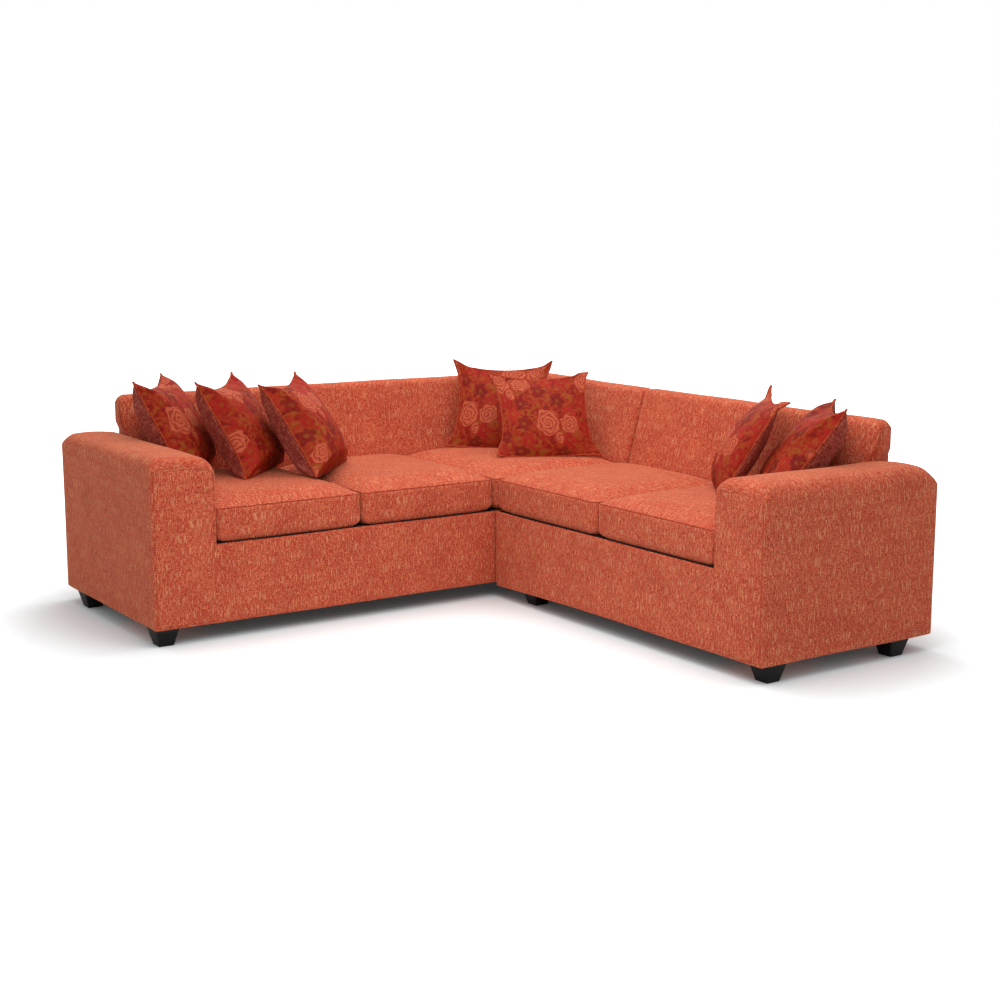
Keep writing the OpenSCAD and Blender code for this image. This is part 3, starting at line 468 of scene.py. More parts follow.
def show(name, sheets, place, axes, finish, body, slot, nodes):
    """Sews the sheets, sets them in the frame and says which nodes the piece stands for. axes
    puts the sheets' three directions in the order s, u, z."""
    laid = [(place(g[..., axes]), w, min(n, len(finish) - 1)) for g, w, n in sheets]
    return stand_for(sewn(name, laid, finish), body, slot, *nodes)


# Arms
def arm(name, first, last, tops, sag, depth, place, body, nodes):
    """One arm: its rounded section across (s, z), carried along the depth u. The top falls a
    little towards the seat, is domed by 12 mm, or 1 - x^2 of it across the arm, and sags by sag
    at the rear, or (1 - u/170)^2 of it."""
    dome = 12
    ring, normals = outline([(first, BASE_Z), (first, tops[0] - dome), (last, tops[1] - dome),
                             (last, BASE_Z)], [6, 38, 48, 6], spacing=18, turn_points=11)
    upward = np.clip(normals[:, 1], 0, 1)
    across = (ring[:, 0] - first) / (last - first) * 2 - 1
    ring[:, 1] += dome * upward * (1 - across ** 2)
    # the rear is rounded less and less towards the sofa's inner side
    inner = (1 + across * (1 if first == 0 else -1)) / 2
    front_roll, rear_roll = 7 + 34 * upward, 26 + 54 * upward - 18 * inner
    sheets = bolster(ring, normals, 0, depth, rear_roll, front_roll, rows=44)
    for grid, _, _ in sheets:
        high = np.clip((grid[..., 1] - DECK_Z) / (ARM_Z - DECK_Z), 0, 1)
        grid[..., 1] -= sag * high * np.clip(1 - grid[..., 2] / 170, 0, 1) ** 2
    piece = show(name, sheets, place, [0, 2, 1], [chenille, seam_line_and_shade], body, "upholstery",
                 nodes)


arm("left_arm", 0, ARM_WIDTH, (ARM_Z + 4, ARM_Z - 7), 0, WING_A_DEPTH, on_wing_a, "left_section",
    ["left_arm_cover", "left_arm_pad"])
arm("right_arm", RIGHT_ARM, WING_B_LENGTH, (ARM_Z - 14, ARM_Z - 10), 14, WING_B_DEPTH, on_wing_b,
    "right_section", ["right_arm_cover", "right_arm_pad"])


# Backs
back_ring, back_normals = outline(
    [(0, DECK_Z), (0, BACK_Z), (BACK_TOP_T, BACK_Z), (BACK_SEAT_T, LEAN_Z), (BACK_SEAT_T, DECK_Z)],
    [4, 30, 30, 60, 4])
back_roll = 10 + 18 * np.clip(back_normals[:, 1] + .4, 0, 1)
BACK_GROOVE = .8


def settled(p, ends, tops, swell):
    """Points (s, u, z) of a back after use: its top rises from the first to the second of tops
    between the ends, and above the arm each end swells out by its swell."""
    s, high = p[..., 0], np.clip((p[..., 2] - LEAN_Z) / (BACK_Z - LEAN_Z), 0, 1)
    share = np.clip((s - ends[0]) / (ends[1] - ends[0]), 0, 1)
    over_arm = np.clip((p[..., 2] - ARM_Z + 20) / 40, 0, 1)
    out = p.copy()
    out[..., 2] += high * (tops[0] + (tops[1] - tops[0]) * share)
    out[..., 0] += over_arm * (swell[1] * np.exp((s - ends[1]) / 50)
                               - swell[0] * np.exp((ends[0] - s) / 50))
    return out


def straight_back(run, start, end, steps):
    """The back's section carried between two places that may differ from point to point."""
    along = start + (end - start) * np.linspace(0, 1, steps)[:, None]
    calm = np.clip((along - along.min()) / 60, 0, 1) * np.clip((along.max() - along) / 60, 0, 1)
    flat = back_ring[None] + back_normals[None] * (.9 * calm * ripple(along, run))[..., None]
    flat[:, -1] = flat[:, 0]
    grid = np.concatenate([along[..., None], flat], -1)
    return grid, np.stack([along, np.broadcast_to(run, along.shape)], -1)


def corner_back(name, body, nodes):
    """The left section's back: the section carried right to the mitre, then forwards along the
    return. At the mitre a point u from the rear stands u short of the corner."""
    run, depth, order = length_along(back_ring), back_ring[:, 0], [2, 0, 1]
    rolled_end = 30.0         # how much of each end comes from the bolster that ends there
    near = bolster(back_ring, back_normals, ARM_WIDTH, WING_A_LENGTH, back_roll, back_roll, 30,
                   groove=BACK_GROOVE)
    far = bolster(back_ring, back_normals, 0, SECTION_SPLIT, back_roll, back_roll, 30, puff=4,
                  groove=BACK_GROOVE)
    main, main_map = straight_back(run, ARM_WIDTH + rolled_end, WING_A_LENGTH - depth, 44)
    turn, turn_map = straight_back(run, depth, SECTION_SPLIT - rolled_end, 22)
    main = np.concatenate([near[0][0][:ROLL_ROWS][..., order], main])
    turn = np.concatenate([turn, far[0][0][-ROLL_ROWS:][..., order]])
    sheets_a = [(main, np.concatenate([near[0][1][:ROLL_ROWS], main_map]), 0)]
    sheets_a += [(g[..., order], w, n) for g, w, n in near[1:3]]
    sheets_b = [(turn, np.concatenate([turn_map, far[0][1][-ROLL_ROWS:]]), 0)]
    sheets_b += [(g[..., order], w, n) for g, w, n in far[3:5]]
    laid = [(on_wing_a(settled(g, (ARM_WIDTH, 1500), (7, 0), (18, 0))), w, n)
            for g, w, n in sheets_a]
    laid += [(on_wing_b(settled(g, (100, SECTION_SPLIT), (0, -6), (0, 0))), w, n)
             for g, w, n in sheets_b]
    piece = stand_for(sewn(name, laid, [chenille, seam_line_and_shade]), body, "upholstery", *nodes)


corner_back("left_and_corner_back", "left_section",
            ["left_back_cover", "left_back_pad", "corner_back_cover", "corner_back_pad"])
show("right_back",
               bolster(back_ring, back_normals, RIGHT_START, RIGHT_ARM, back_roll, back_roll, 40,
                       puff=4, groove=BACK_GROOVE),
               lambda p: on_wing_b(settled(p, (RIGHT_START, RIGHT_ARM), (-5, -7), (0, 18))),
               [2, 0, 1], [chenille, seam_line_and_shade], "right_section", "upholstery",
               ["right_back_cover", "right_back_pad"])


# Panels, felt and straps
def board(name, along, across, top, place, body, node, top_roll=3, end_roll=3, uneven=0.0,
          hang=0.0):
    """A covered board: its section across (u, z) carried along s. Its lower edge hangs lower by
    hang at the first end and runs level again after half a metre."""
    (s0, s1), (u0, u1), (z0, z1) = along, across, (BASE_Z, top)
    ring, normals = outline([(u0, z0), (u0, z1), (u1, z1), (u1, z0)], [3, 3, top_roll, 4])
    toward = np.clip(normals[:, 0], 0, 1)
    sheets = bolster(ring, normals, s0, s1, 3 + (end_roll - 3) * toward, np.full(len(ring), 3.0),
                     rows=40, puff=.5, groove=.5, uneven=uneven)
    for grid, _, _ in sheets:
        low = np.clip((z1 - grid[..., 1]) / (z1 - z0), 0, 1)
        grid[..., 1] -= hang * low * np.clip(1 - (grid[..., 2] - s0) / 500, 0, 1)
    show(name, sheets, place, [2, 0, 1], [chenille], body, "upholstery", [node])


# the front boards reach 6 mm into the arms, and the rear ones stand 1 mm out
board("left_front", (ARM_WIDTH - 6, WING_A_LENGTH - WING_B_DEPTH),
      (WING_A_DEPTH - FRONT_T, WING_A_DEPTH), DECK_Z, on_wing_a, "left_section",
      "left_front_panel", top_roll=12, uneven=.7)
board("right_front", (RIGHT_START, RIGHT_ARM + 6), (WING_B_DEPTH - FRONT_T, WING_B_DEPTH), DECK_Z,
      on_wing_b, "right_section", "right_front_panel", top_roll=12, end_roll=14, uneven=.7,
      hang=13)
for name, ends, place, body, node in (
        ("left_rear", (ARM_WIDTH, WING_A_LENGTH), on_wing_a, "left_section", "left_rear_panel"),
        ("corner_side", (COVER_T, SECTION_SPLIT), on_wing_b, "left_section", "corner_side_panel"),
        ("right_rear", (RIGHT_START, RIGHT_ARM), on_wing_b, "right_section", "right_rear_panel")):
    board(name, ends, (-1, COVER_T), REAR_PANEL_TOP, place, body, node)


def windowed_board(name, y, body, node):
    """A covered board between the sections: flat faces on a grid whose lines follow the two
    openings for the links, left out there, and walled all round."""
    low, high = box_mm(node)
    xs = [low[0], *LINK_OPENINGS[0], *LINK_OPENINGS[1], high[0]]
    zs = [BASE_Z, *LINK_OPENING_Z, DECK_Z]
    solid = np.pad(np.array([[1, 1, 1], [1, 0, 1], [1, 1, 1], [1, 0, 1], [1, 1, 1]]), 1)
    sheets = []
    for i in range(5):
        for j in range(3):
            if not solid[i + 1, j + 1]:
                continue
            x, z = xs[i:i + 2], zs[j:j + 2]
            walls = [((x[k], x[k]), z, 0) for k in (0, 1) if not solid[i + 2 * k, j + 1]]
            walls += [(x, (z[k], z[k]), 1) for k in (0, 1) if not solid[i + 1, j + 2 * k]]
            for side in y:
                grid = np.array([[[a, side, b] for b in z] for a in x], float)
                sheets.append((grid, grid[..., [0, 2]], 0))
            for a, b, flat in walls:
                grid = np.array([[[a[k], side, b[k]] for side in y] for k in (0, 1)], float)
                sheets.append((grid, grid[..., [0 if flat else 2, 1]], 0))
    stand_for(sewn(name, sheets, [chenille], smooth=False), body, "upholstery", node)


left_end, right_end = Y_REAR - SECTION_SPLIT, Y_REAR - RIGHT_START
windowed_board("left_joint_board", (left_end, left_end + COVER_T), "left_section",
               "left_joint_panel")
windowed_board("right_joint_board", (right_end - COVER_T, right_end), "right_section",
               "right_joint_panel")


def felt_deck(name, s0, s1, depth, place, body, node):
    """The felt that the seat cushions lie on: a flat slab with eased edges, its face a little
    above the rolled edge of the front board, so the two never cross."""
    u0, u1, z0, z1 = POST_BACK, depth - COVER_T, DECK_Z - DECK_T, DECK_Z + FELT_PROUD
    ring, normals = outline([(u0, z0), (u0, z1), (u1, z1), (u1, z0)], [3] * 4, spacing=40,
                            turn_points=5)
    roll = np.full(len(ring), 3.0)
    sheets = bolster(ring, normals, s0, s1, roll, roll, rows=30, puff=0, groove=0, uneven=0)
    # the felt's near-black cloth is partly painted shade of the gaps under the cushions
    piece = show(name, sheets, place, [2, 0, 1], [deck_felt], body, "deck_felt", [node])


felt_deck("left_deck_felt", ARM_WIDTH, WING_A_LENGTH - POST_BACK, WING_A_DEPTH, on_wing_a,
          "left_section", "left_seat_deck")
felt_deck("right_deck_felt", RIGHT_START + COVER_T, RIGHT_ARM, WING_B_DEPTH, on_wing_b,
          "right_section", "right_seat_deck")


def flat_strip(s, u, z):
    """A thin block of cloth over (s, u) between two heights: top, underside and edges."""
    s, u, z = (np.linspace(*ends, n) for ends, n in ((s, 9), (u, 5), (z, 2)))
    sheets = []
    for first, second, third, order in ((s, u, z, [0, 1, 2]), (s, z, u, [0, 2, 1]),
                                        (u, z, s, [2, 0, 1])):
        a, b = np.meshgrid(first, second, indexing="ij")
        for level in (third[0], third[-1]):
            grid = np.stack([a, b, np.full(a.shape, level)], -1)[..., order]
            sheets.append((grid, np.stack([a, b], -1), 0))
    return sheets


def cloth_strips(name, strips, place, finish, body, slot, node):
    """Several thin blocks of cloth in one piece, flat-shaded so that their edges stay crisp."""
    sheets = [(place(g), w, n) for strip in strips for g, w, n in flat_strip(*strip)]
    return stand_for(sewn(name, sheets, [finish], smooth=False), body, slot, node)


def strap_places(start, end):
    """Where the straps between two places start and end."""
    count = int((end - start - STRAP_W) // STRAP_STEP) + 1
    return [(start + i * STRAP_STEP, start + i * STRAP_STEP + STRAP_W) for i in range(count)]


# each section's webbing ends along s, its depth, and the two lengths of its dust cloth
for side, place, s_ends, depth, cloths in (
        ("left", on_wing_a, (ARM_WIDTH, WING_A_LENGTH - POST_BACK), WING_A_DEPTH,
         [(COVER_T, ARM_WIDTH - COVER_T), (ARM_WIDTH, WING_A_LENGTH - COVER_T)]),
        ("right", on_wing_b, (RIGHT_START + COVER_T, RIGHT_ARM), WING_B_DEPTH,
         [(RIGHT_START + COVER_T, RIGHT_ARM), (RIGHT_ARM + COVER_T, WING_B_LENGTH - COVER_T)])):
    body, front = f"{side}_section", depth - COVER_T
    dust = cloth_strips(f"{side}_dust_cloth",
                        [(c, (COVER_T, front), (BASE_Z, BASE_Z + DUST_T)) for c in cloths],
                        place, lining_cloth, body, "dust_cloth", f"{side}_dust_cover")
    low, between, top = (DECK_Z - DECK_T - n * STRAP_T for n in (2, 1, 0))
    straps = [(s_ends, u, (low, between))
              for u in strap_places(POST_BACK + RAIL_T, front - RAIL_T)]
    straps += [(s, (POST_BACK, front), (between, top)) for s in strap_places(*s_ends)]
    cloth_strips(f"{side}_straps", straps, place, strap_weave, body, "webbing", f"{side}_webbing")


# Cloth under pressure
def coordinates(piece):
    """The piece's points as rows of millimetres."""
    co = np.zeros(len(piece.data.vertices) * 3, np.float32)
    piece.data.vertices.foreach_get("co", co)
    return co.reshape(-1, 3).astype(float) / MM


def move_to(piece, co):
    """Sets the piece's points to rows of millimetres."""
    piece.data.vertices.foreach_set("co", (co * MM).astype(np.float32).ravel())
    piece.data.update()


def crowded(count, share):
    """Numbers from -1 to 1 that crowd towards both ends, by a sine: more of it with more share."""
    return np.sin(np.linspace(-1, 1, count) * math.pi / 2 * share) / math.sin(math.pi / 2 * share)


FILLING_FRAMES = 20


def puffed(piece, held, most, pressure=4.0, bending=.4):
    """Fills a closed cover as cloth under air pressure with no gravity, held where held is above 0,
    and lets no point move further than most."""
    group = piece.vertex_groups.new(name="held")
    for i in np.flatnonzero(held > 0):
        group.add([int(i)], float(held[i]), "REPLACE")
    rest = coordinates(piece)
    cloth = piece.modifiers.new("cloth", "CLOTH")
    cloth.settings.vertex_group_mass = "held"
    cloth.settings.use_pressure = True
    cloth.settings.uniform_pressure_force = pressure
    cloth.settings.effector_weights.gravity = 0
    cloth.settings.quality = 6
    cloth.settings.mass = .3
    cloth.settings.tension_stiffness = cloth.settings.compression_stiffness = 12
    cloth.settings.bending_stiffness = bending
    cloth.point_cache.frame_end = FILLING_FRAMES
    for step in range(1, FILLING_FRAMES + 1):
        scene.frame_set(step)
    now = np.zeros(rest.size, np.float32)
    piece.evaluated_get(bpy.context.evaluated_depsgraph_get()).data.vertices.foreach_get("co", now)
    piece.modifiers.remove(cloth)
    piece.vertex_groups.clear()
    move = now.reshape(-1, 3) / MM - rest
    far = np.linalg.norm(move, axis=1, keepdims=True)
    move *= np.minimum(1, most / np.maximum(far, 1e-9))
    move_to(piece, rest + move)
    scene.frame_set(1)


def soften(piece):
    """One level of subdivision, the same in the view and the render."""
    smooth = piece.modifiers.new("smooth", "SUBSURF")
    smooth.levels = smooth.render_levels = 1
    return piece


# Seat cushions
SEAT_SEAM_INSET, SEAT_BULGE = 2.4, .8   # inside and outside the side of the cushion's CAD box
# heights in that box: the seam over its floor, the crown under its top, the underside over its floor
BORDER_TOP, CROWN_TOP, UNDERSIDE = 124, 2, 1.5
# how much the corners are rounded above and below, and how far the border turns in below
SEAT_DRAW, UNDER_DRAW, TURN_IN = .018, .05, 15


def seat_cushion(name, body, nodes, facing):
    """A boxed cushion: two square faces and a border between their seams. Over a face
    (a, b from -1 to 1) height = seam + crown ((1 - a^4)(1 - b^4))^.45, less small puckers
    sin^2(run) that die out 20 mm from the seam; the border bows out between the seams and
    turns in under the cushion."""
    low, high = box_mm(nodes[0])
    middle, half = (low + high) / 2, (high - low) / 2
    half = half[:2] - SEAT_SEAM_INSET
    seam_top, seam_low = low[2] + BORDER_TOP, low[2] + UNDERSIDE
    crown = high[2] - low[2] - BORDER_TOP - CROWN_TOP
    spread = crowded(49, .94)
    a, b = np.meshgrid(spread, spread, indexing="ij")

    def plan(a, b, inset=0.0, draw=SEAT_DRAW):
        """A square's point, its corners rounded: a (1 - draw (a b)^24)."""
        draw = 1 - draw * np.abs(a * b) ** 24
        return np.stack([middle[0] + a * (half[0] - inset) * draw,
                         middle[1] + b * (half[1] - inset) * draw], -1)

    def pucker(run, away):
        """Fullness gathered into a seam, away from it in millimetres."""
        return np.sin(run / 13 + 1.6 * np.sin(run / 61)) ** 2 * np.exp(-away / 20)

    face = plan(a, b, 1.8)
    away = np.minimum((1 - np.abs(a)) * half[0], (1 - np.abs(b)) * half[1])
    run = np.where(np.abs(a) > np.abs(b), face[..., 1], face[..., 0])
    dome = np.clip((1 - a ** 4) * (1 - b ** 4), 0, 1)
    rise = seam_top + .6 + crown * dome ** .45 - 1.8 * pucker(run, away) * (away > 0)
    top = np.concatenate([face, rise[..., None]], -1)
    under = np.concatenate([plan(a, b, TURN_IN, UNDER_DRAW),
                            np.full(a.shape, seam_low)[..., None]], -1)
    # the border, from the underside to the seam: it bows out by 3.2 mm
    steps = len(spread) - 1
    edge_a = np.concatenate([spread, np.ones(steps), spread[::-1][1:], -np.ones(steps)])
    edge_b = np.concatenate([-np.ones(steps + 1), spread[1:], np.ones(steps), spread[::-1][1:]])
    level = np.array([0, .02, .05, .09, .15, .25, .38, .52, .66, .8, .9, .97, 1])[:, None]
    inset = TURN_IN * np.clip(1 - level / .15, 0, 1) ** 2 - 3.2 * np.sin(level * math.pi) ** .8
    around = length_along(plan(edge_a, edge_b))
    both_ways = np.minimum(around, around[-1] - around)[None]   # alike where the border closes
    inset = inset + 1.2 * pucker(both_ways, (1 - level) * 120) * (level < 1)
    draws = SEAT_DRAW + (UNDER_DRAW - SEAT_DRAW) * np.clip(1 - level[:, 0] / .25, 0, 1) ** 2
    ring = np.stack([plan(edge_a, edge_b, i, d) for i, d in zip(inset, draws)])
    height = seam_low + (seam_top - 2.4 - seam_low) * level
    border = np.concatenate([ring, np.broadcast_to(height, ring.shape[:2])[..., None]], -1)
    around = np.broadcast_to(around, ring.shape[:2])
    border_map = np.stack([around, border[..., 2]], -1)
    # the seam: a groove from the border's top row over a sunk row to the face's edge
    seam = np.stack([np.concatenate([plan(edge_a, edge_b, i), np.full((len(edge_a), 1), z)], -1)
                     for i, z in ((inset[-1], seam_top - 2.4), (3.4, seam_top - 1.0),
                                  (1.8, seam_top + .6))])
    turn = (lambda g: g[..., [0, 1]]) if facing == "front" else (lambda g: g[..., [1, 0]])
    # the seam strip takes the darker seam cloth, which is partly painted shade of the groove
    piece = sewn(name, [(top, turn(top), 0), (border, border_map, 0),
                        (seam, np.stack([around[:3], seam[..., 2]], -1), 1),
                        (under, turn(under), 0)], [chenille, thread_and_seam_shade])
    co = coordinates(piece)
    side = np.abs((co[:, :2] - middle[:2]) / half).max(1)
    at_seam = (np.abs(co[:, 2] - seam_top + .9) < 1.8) & (side > .93)
    puffed(piece, np.where(at_seam | (co[:, 2] < seam_low + .5), 1.0, 0.0), most=7)
    # the border presses flat against its neighbours: past its seam it stands out by no more
    # than relief, and never runs into the next cushion
    co, relief = coordinates(piece), SEAT_SEAM_INSET + SEAT_BULGE
    away = co[:, :2] - middle[:2]
    past = np.clip(np.abs(away) - half, 0, None)
    away = np.sign(away) * (np.minimum(np.abs(away), half) + relief * np.tanh(past / relief))
    co[:, :2] = middle[:2] + away
    move_to(piece, co)
    stand_for(soften(piece), body, "upholstery", *nodes)


for seat, facing in (("a1", "front"), ("a2", "front"), ("corner", "front"), ("b1", "left"),
                     ("b2", "left")):
    seat_cushion(f"seat_cushion_{seat}", f"seat_{seat}",
                 [f"seat_cover_{seat}", f"seat_core_{seat}"], facing)


# Scatter cushions
SCATTER_W, SCATTER_H, SCATTER_T = 468, 412, 160
SIDE_DRAW, LOW_DRAW, TOP_DRAW, TOP_EAR, PIPE_R = 32, -4, 36, 31, 4.3
# lower edge's middle (x, y), turn and lean in degrees, the shift of the cloth's repeat, how far
# each ear curls forwards (lower left, lower right, upper left, upper right), and how full the
# front and the rear are
SCATTERS = {
    "l1": ((-678.5, 888.5), -51.7, 27.2, (105, -20), (10, -6, 16, -12), (1.1, 1.1)),
    "l2": ((-453.5, 761.5), -46.5, 30.0, (-130, 40), (-8, 10, 20, 14), (1.1, 1.1)),
    "l3": ((-225.5, 650.5), -46.5, 31.0, (30, -90), (8, 8, -12, 18), (1.1, 1.1)),
    "c1": ((643.5, 795.5), 41.3, 31.2, (110, 40), (8, 0, 14, 10), (.95, .95)),
    "c2": ((683.5, 462.5), 24.1, 36.0, (-51, 50), (16, -8, 8, -10), (.95, .95)),
    "r1": ((722.5, -516.5), 128.0, 31.0, (-60, 20), (6, 8, 14, -10), (1.5, 1.15)),
    "r2": ((746.5, -746.5), 128.3, 36.8, (90, -30), (8, 6, -14, 16), (.85, 1.0)),
}


def scatter_cushion(key, place, turn, lean, shift, curls, fullness):
    """A square cushion of two faces sewn along a piped edge. Over a face (a, b from -1 to 1)
    x = a (w/2 - draw (1 - b^2)), z = b (h/2 + ear - draw (1 - a^2)), and each face stands its
    fullness times .85 t/2 ((1 - a^2)(1 - c^2))^.52 off the middle, so the corners run out to thin
    ears, which curl forwards by curl |a b|^5. The filling has sunk: c = b + .14 (1 - b^2) puts
    the fullest place under the middle. Creases run out from the middle. Air pressure then swells
    the cover, it is set on its seat again, and the piping follows its edge."""
    count = 45
    spread = crowded(count, .9)
    a, b = np.meshgrid(spread, spread, indexing="ij")
    x = a * (SCATTER_W / 2 - SIDE_DRAW * (1 - b ** 2))
    draw, ear = np.where(b > 0, TOP_DRAW, LOW_DRAW), np.where(b > 0, TOP_EAR, 0)
    z = b * (SCATTER_H / 2 + ear - draw * (1 - a ** 2)) + SCATTER_H / 2
    sunk = b + .14 * (1 - b ** 2)
    puff = .85 * SCATTER_T / 2 * np.clip((1 - a ** 2) * (1 - sunk ** 2), 0, 1) ** .52
    corner = [(a < 0) & (b < 0), (a >= 0) & (b < 0), (a < 0) & (b >= 0), (a >= 0) & (b >= 0)]
    curl = np.select(corner, [float(c) for c in curls]) * np.abs(a * b) ** 5
    crease = 1.5 * np.sin(9 * np.arctan2(z - SCATTER_H / 2, x) + shift[0]) * np.hypot(a, b) ** 2
    crease *= (1 - a ** 2) * (1 - b ** 2)
    weave = np.stack([a * SCATTER_W / 2 + shift[0], b * SCATTER_H / 2 + shift[1]], -1)
    front = np.stack([x, -fullness[0] * puff - curl + crease, z], -1)
    rear = np.stack([x, fullness[1] * puff - curl + crease, z], -1)
    rim = np.concatenate([front[:, 0], front[-1, 1:], front[-2::-1, -1], front[0, -2::-1]])

    floor = box_mm(f"scatter_cover_{key}")[0][2]
    lean, turn = math.radians(lean), math.radians(turn)

    def turned(p):
        """Leans a direction back about the lower edge, then turns it about the upright."""
        back = p[..., 1] * math.cos(lean) + p[..., 2] * math.sin(lean)
        up = p[..., 2] * math.cos(lean) - p[..., 1] * math.sin(lean)
        return np.stack([p[..., 0] * math.cos(turn) + back * math.sin(turn),
                         back * math.cos(turn) - p[..., 0] * math.sin(turn), up], -1)

    # with both faces t/2 thick, the lowest point stands on the floor of its CAD box
    full = np.stack([x, -puff / .85, z], -1)
    lowest = min(turned(full)[..., 2].min(), turned(full * [1, -1, 1])[..., 2].min())
    moved = np.array([*place, floor - lowest])
    cover = sewn(f"scatter_cushion_{key}", [(turned(front) + moved, weave, 0),
                                            (turned(rear) + moved, weave, 1)],
                 [jacquard, maroon_cloth])
    rest = coordinates(cover)

    def nearest(points):
        """The cover's points that lie where these were before it was filled."""
        spread_out = (turned(points) + moved).reshape(-1, 3)
        return np.array([((rest - p) ** 2).sum(1).argmin() for p in spread_out])

    at_rim, at_front, at_rear = nearest(rim[:-1]), nearest(front), nearest(rear)
    puffed(cover, np.zeros(len(rest)), most=22, bending=.25)
    # the two faces keep 5 mm apart, closing at the edge, and the lower edge lies on the seat
    co, through = coordinates(cover), turned(np.array([0., 1, 0]))
    apart = 5 * np.clip(40 * (1 - a ** 2) * (1 - b ** 2), 0, 1).ravel()
    short = np.clip(apart - (co[at_rear] - co[at_front]) @ through, 0, None)[:, None] / 2
    co[at_front], co[at_rear] = co[at_front] - short * through, co[at_rear] + short * through
    lower_edge = nearest(front[count // 2:count // 2 + 1, 0])
    co[:, 2] = np.maximum(co[:, 2] + floor + 4 - co[lower_edge, 2], floor)
    move_to(cover, co)
    # a cover that was sewn inside out is turned
    shell = bmesh.new()
    shell.from_mesh(cover.data)
    if shell.calc_volume(signed=True) < 0:
        bmesh.ops.reverse_faces(shell, faces=shell.faces)
        shell.to_mesh(cover.data)
    shell.free()
    soften(cover)

    # piping: a round tube along the edge, its middle a little outside it
    rim = co[at_rim]
    rim = (rim + .5 * np.roll(rim, 1, 0) + .5 * np.roll(rim, -1, 0)) / 2
    along = np.roll(rim, -1, 0) - np.roll(rim, 1, 0)
    along /= np.linalg.norm(along, axis=1, keepdims=True)
    outward = np.cross(along, through)
    outward /= np.linalg.norm(outward, axis=1, keepdims=True)
    swing = np.linspace(0, 2 * math.pi, 9)[:, None, None]
    pipe = (rim + outward * 2)[None] + PIPE_R * (np.cos(swing) * outward[None]
                                                 + np.sin(swing) * through)
    pipe = np.concatenate([pipe, pipe[:, :1]], 1)
    run = length_along(np.concatenate([rim, rim[:1]]))
    pipe_map = np.stack(np.broadcast_arrays(run[None], swing[..., 0] * PIPE_R), -1)
    welt = sewn(f"scatter_welt_{key}", [(pipe, pipe_map, 0)], [welt_cloth])
    stand_for(welt, f"scatter_{key}", "brocade")
    stand_for(cover, f"scatter_{key}", "brocade", f"scatter_cover_{key}",
              f"scatter_filling_{key}")


for key, facts in SCATTERS.items():
    scatter_cushion(key, *facts)


# Feet and the hidden frame
def legs(name, wing, places, body, node):
    """Square tapered feet, 56 mm wide on the floor and 88 mm at the top: an outline with eased
    corners that grows with height, closed at both ends by rows of points in its middle."""
    half, grown = 28, 16
    ring, normals = outline([(-half, -half), (-half, half), (half, half), (half, -half)],
                            [3] * 4, spacing=60, turn_points=5)
    heights = np.array([0, 0, 1.5, 15, 30, 45, BASE_Z, BASE_Z])[:, None]
    size = np.array([0, 1, 1, 1, 1, 1, 1, 0])[:, None] * (1 + heights / BASE_Z * grown / half)
    eased = np.array([0, 1.5, 0, 0, 0, 0, 0, 0])[:, None, None]
    foot = ring[None] * size[..., None] - normals[None] * eased
    foot = np.concatenate([foot, np.broadcast_to(heights, foot.shape[:2])[..., None]], -1)
    sheets = [(wing(foot + [s, u, 0]), foot[..., :2].copy(), 0) for s, u in places]
    stand_for(sewn(name, sheets, [black_lacquer]), body, "leg_black", node)


# feet stand 165 mm from the rear, and those in front 46 or 72 mm from their section's front
front, rear = WING_A_DEPTH - 46, 165
legs("left_tapered_legs", on_wing_a, [(46, front), (46, rear), (831.5, rear), (2180, rear),
                                      (1748, front), (2180, front)], "left_section", "left_legs")
front = WING_B_DEPTH - 72
legs("right_tapered_legs", on_wing_b, [(1101, front), (1101, rear), (2389, front), (2389, rear)],
     "right_section", "right_legs")

NODE_FINISH = {"frame": pine, "fasteners": zinc_steel, "sockets": zinc_steel, "hooks": zinc_steel}
for name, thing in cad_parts.items():
    for word, finish in NODE_FINISH.items():
        if name.endswith(word):
            thing.data.materials.clear()
            thing.data.materials.append(finish)


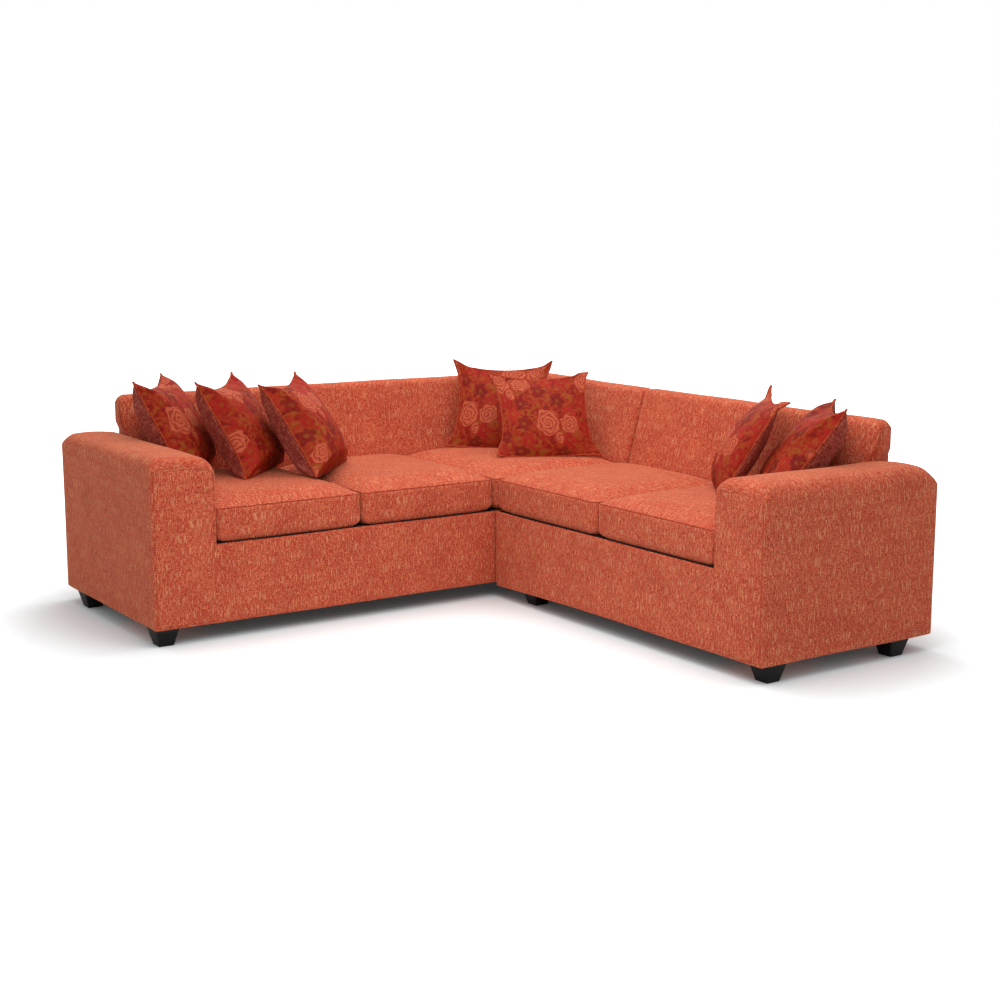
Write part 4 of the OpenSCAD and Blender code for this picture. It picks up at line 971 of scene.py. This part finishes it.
# Room
def room():
    """A white floor that keeps the sofa's shadow, and white all round for the camera."""
    made, tree, shader = material("white_floor", roughness=1.0, specular=0.0)
    # a trace of blue against the red light that the sofa throws on it
    shader.inputs["Base Color"].default_value = linear("#EEF4F5")
    seen = add(tree, "LightPath", out="Is Camera Ray")
    # the floor turns to plain white light away from the sofa, so no horizon shows
    from_middle = add(tree, "VectorMath", {0: add(tree, "TexCoord", out="Object")}, out="Value",
                      operation="LENGTH")
    away = add(tree, "MapRange", {0: from_middle, 1: 1.6, 2: 4.2, 3: .02, 4: 1.0})
    # and so does open floor near it, while its shadow and the floor beside its base keep dark
    clear = add(tree, "AmbientOcclusion", {"Distance": .5}, out="AO")
    clear = add(tree, "Math", {0: clear, 1: 3.0}, operation="POWER")
    away = add(tree, "Math", {0: clear, 1: .35, 2: away}, operation="MULTIPLY_ADD")
    white = add(tree, "Emission", {"Color": (1, 1, 1, 1), "Strength": away})
    both = add(tree, "AddShader", {0: shader.outputs[0], 1: white})
    mix = add(tree, "MixShader", {0: seen, 1: shader.outputs[0], 2: both})
    tree.links.new(mix, tree.nodes["Material Output"].inputs["Surface"])
    bpy.ops.mesh.primitive_plane_add(size=40, location=(0, 0, 0))
    floor = bpy.context.object
    floor.name = "floor"
    floor.data.materials.append(made)

    world = bpy.data.worlds.new("studio")
    world.use_nodes = True
    tree = world.node_tree
    tree.nodes.clear()
    path = add(tree, "LightPath").node.outputs
    shown = add(tree, "Math", {0: path["Is Camera Ray"], 1: path["Is Glossy Ray"]},
                operation="MAXIMUM")
    shown = add(tree, "Math", {0: shown, 1: path["Is Transmission Ray"]}, operation="MAXIMUM")
    lit = add(tree, "Background", {"Color": (1, 1, 1, 1), "Strength": .62})
    white = add(tree, "Background", {"Color": (1, 1, 1, 1), "Strength": 1.0})
    add(tree, "OutputWorld", {"Surface": add(tree, "MixShader", {0: shown, 1: lit, 2: white})})
    scene.world = world


def lamp(name, at, towards, size, watts):
    """One square soft lamp, aimed at a point."""
    data = bpy.data.lights.new(name, "AREA")
    data.size, data.energy = size, watts
    thing = bpy.data.objects.new(name, data)
    thing.matrix_world = Matrix.Translation(at) @ (
        Vector(towards) - Vector(at)).to_track_quat("-Z", "Y").to_matrix().to_4x4()
    scene.collection.objects.link(thing)


def camera(at, yaw, pitch, lens):
    """The photograph's camera: yaw is clockwise from +Y, pitch is down, both in degrees."""
    data = bpy.data.cameras.new("camera")
    data.lens, data.sensor_width, data.sensor_fit = lens, 36, "HORIZONTAL"
    thing = bpy.data.objects.new("camera", data)
    thing.location = at
    thing.rotation_euler = (math.radians(90 - pitch), 0, math.radians(-yaw))
    scene.collection.objects.link(thing)
    scene.camera = thing


room()
lamp("key", (-.4, -1.1, 2.3), (.5, .3, .3), 2.0, 25)
lamp("top", (.7, .95, 3.2), (.4, .2, 0), 2.5, 58)
camera((-3.1885, -4.8914, 1.4785), 34.0837, 9.8576, 58.21)
scene.view_settings.view_transform = "Standard"
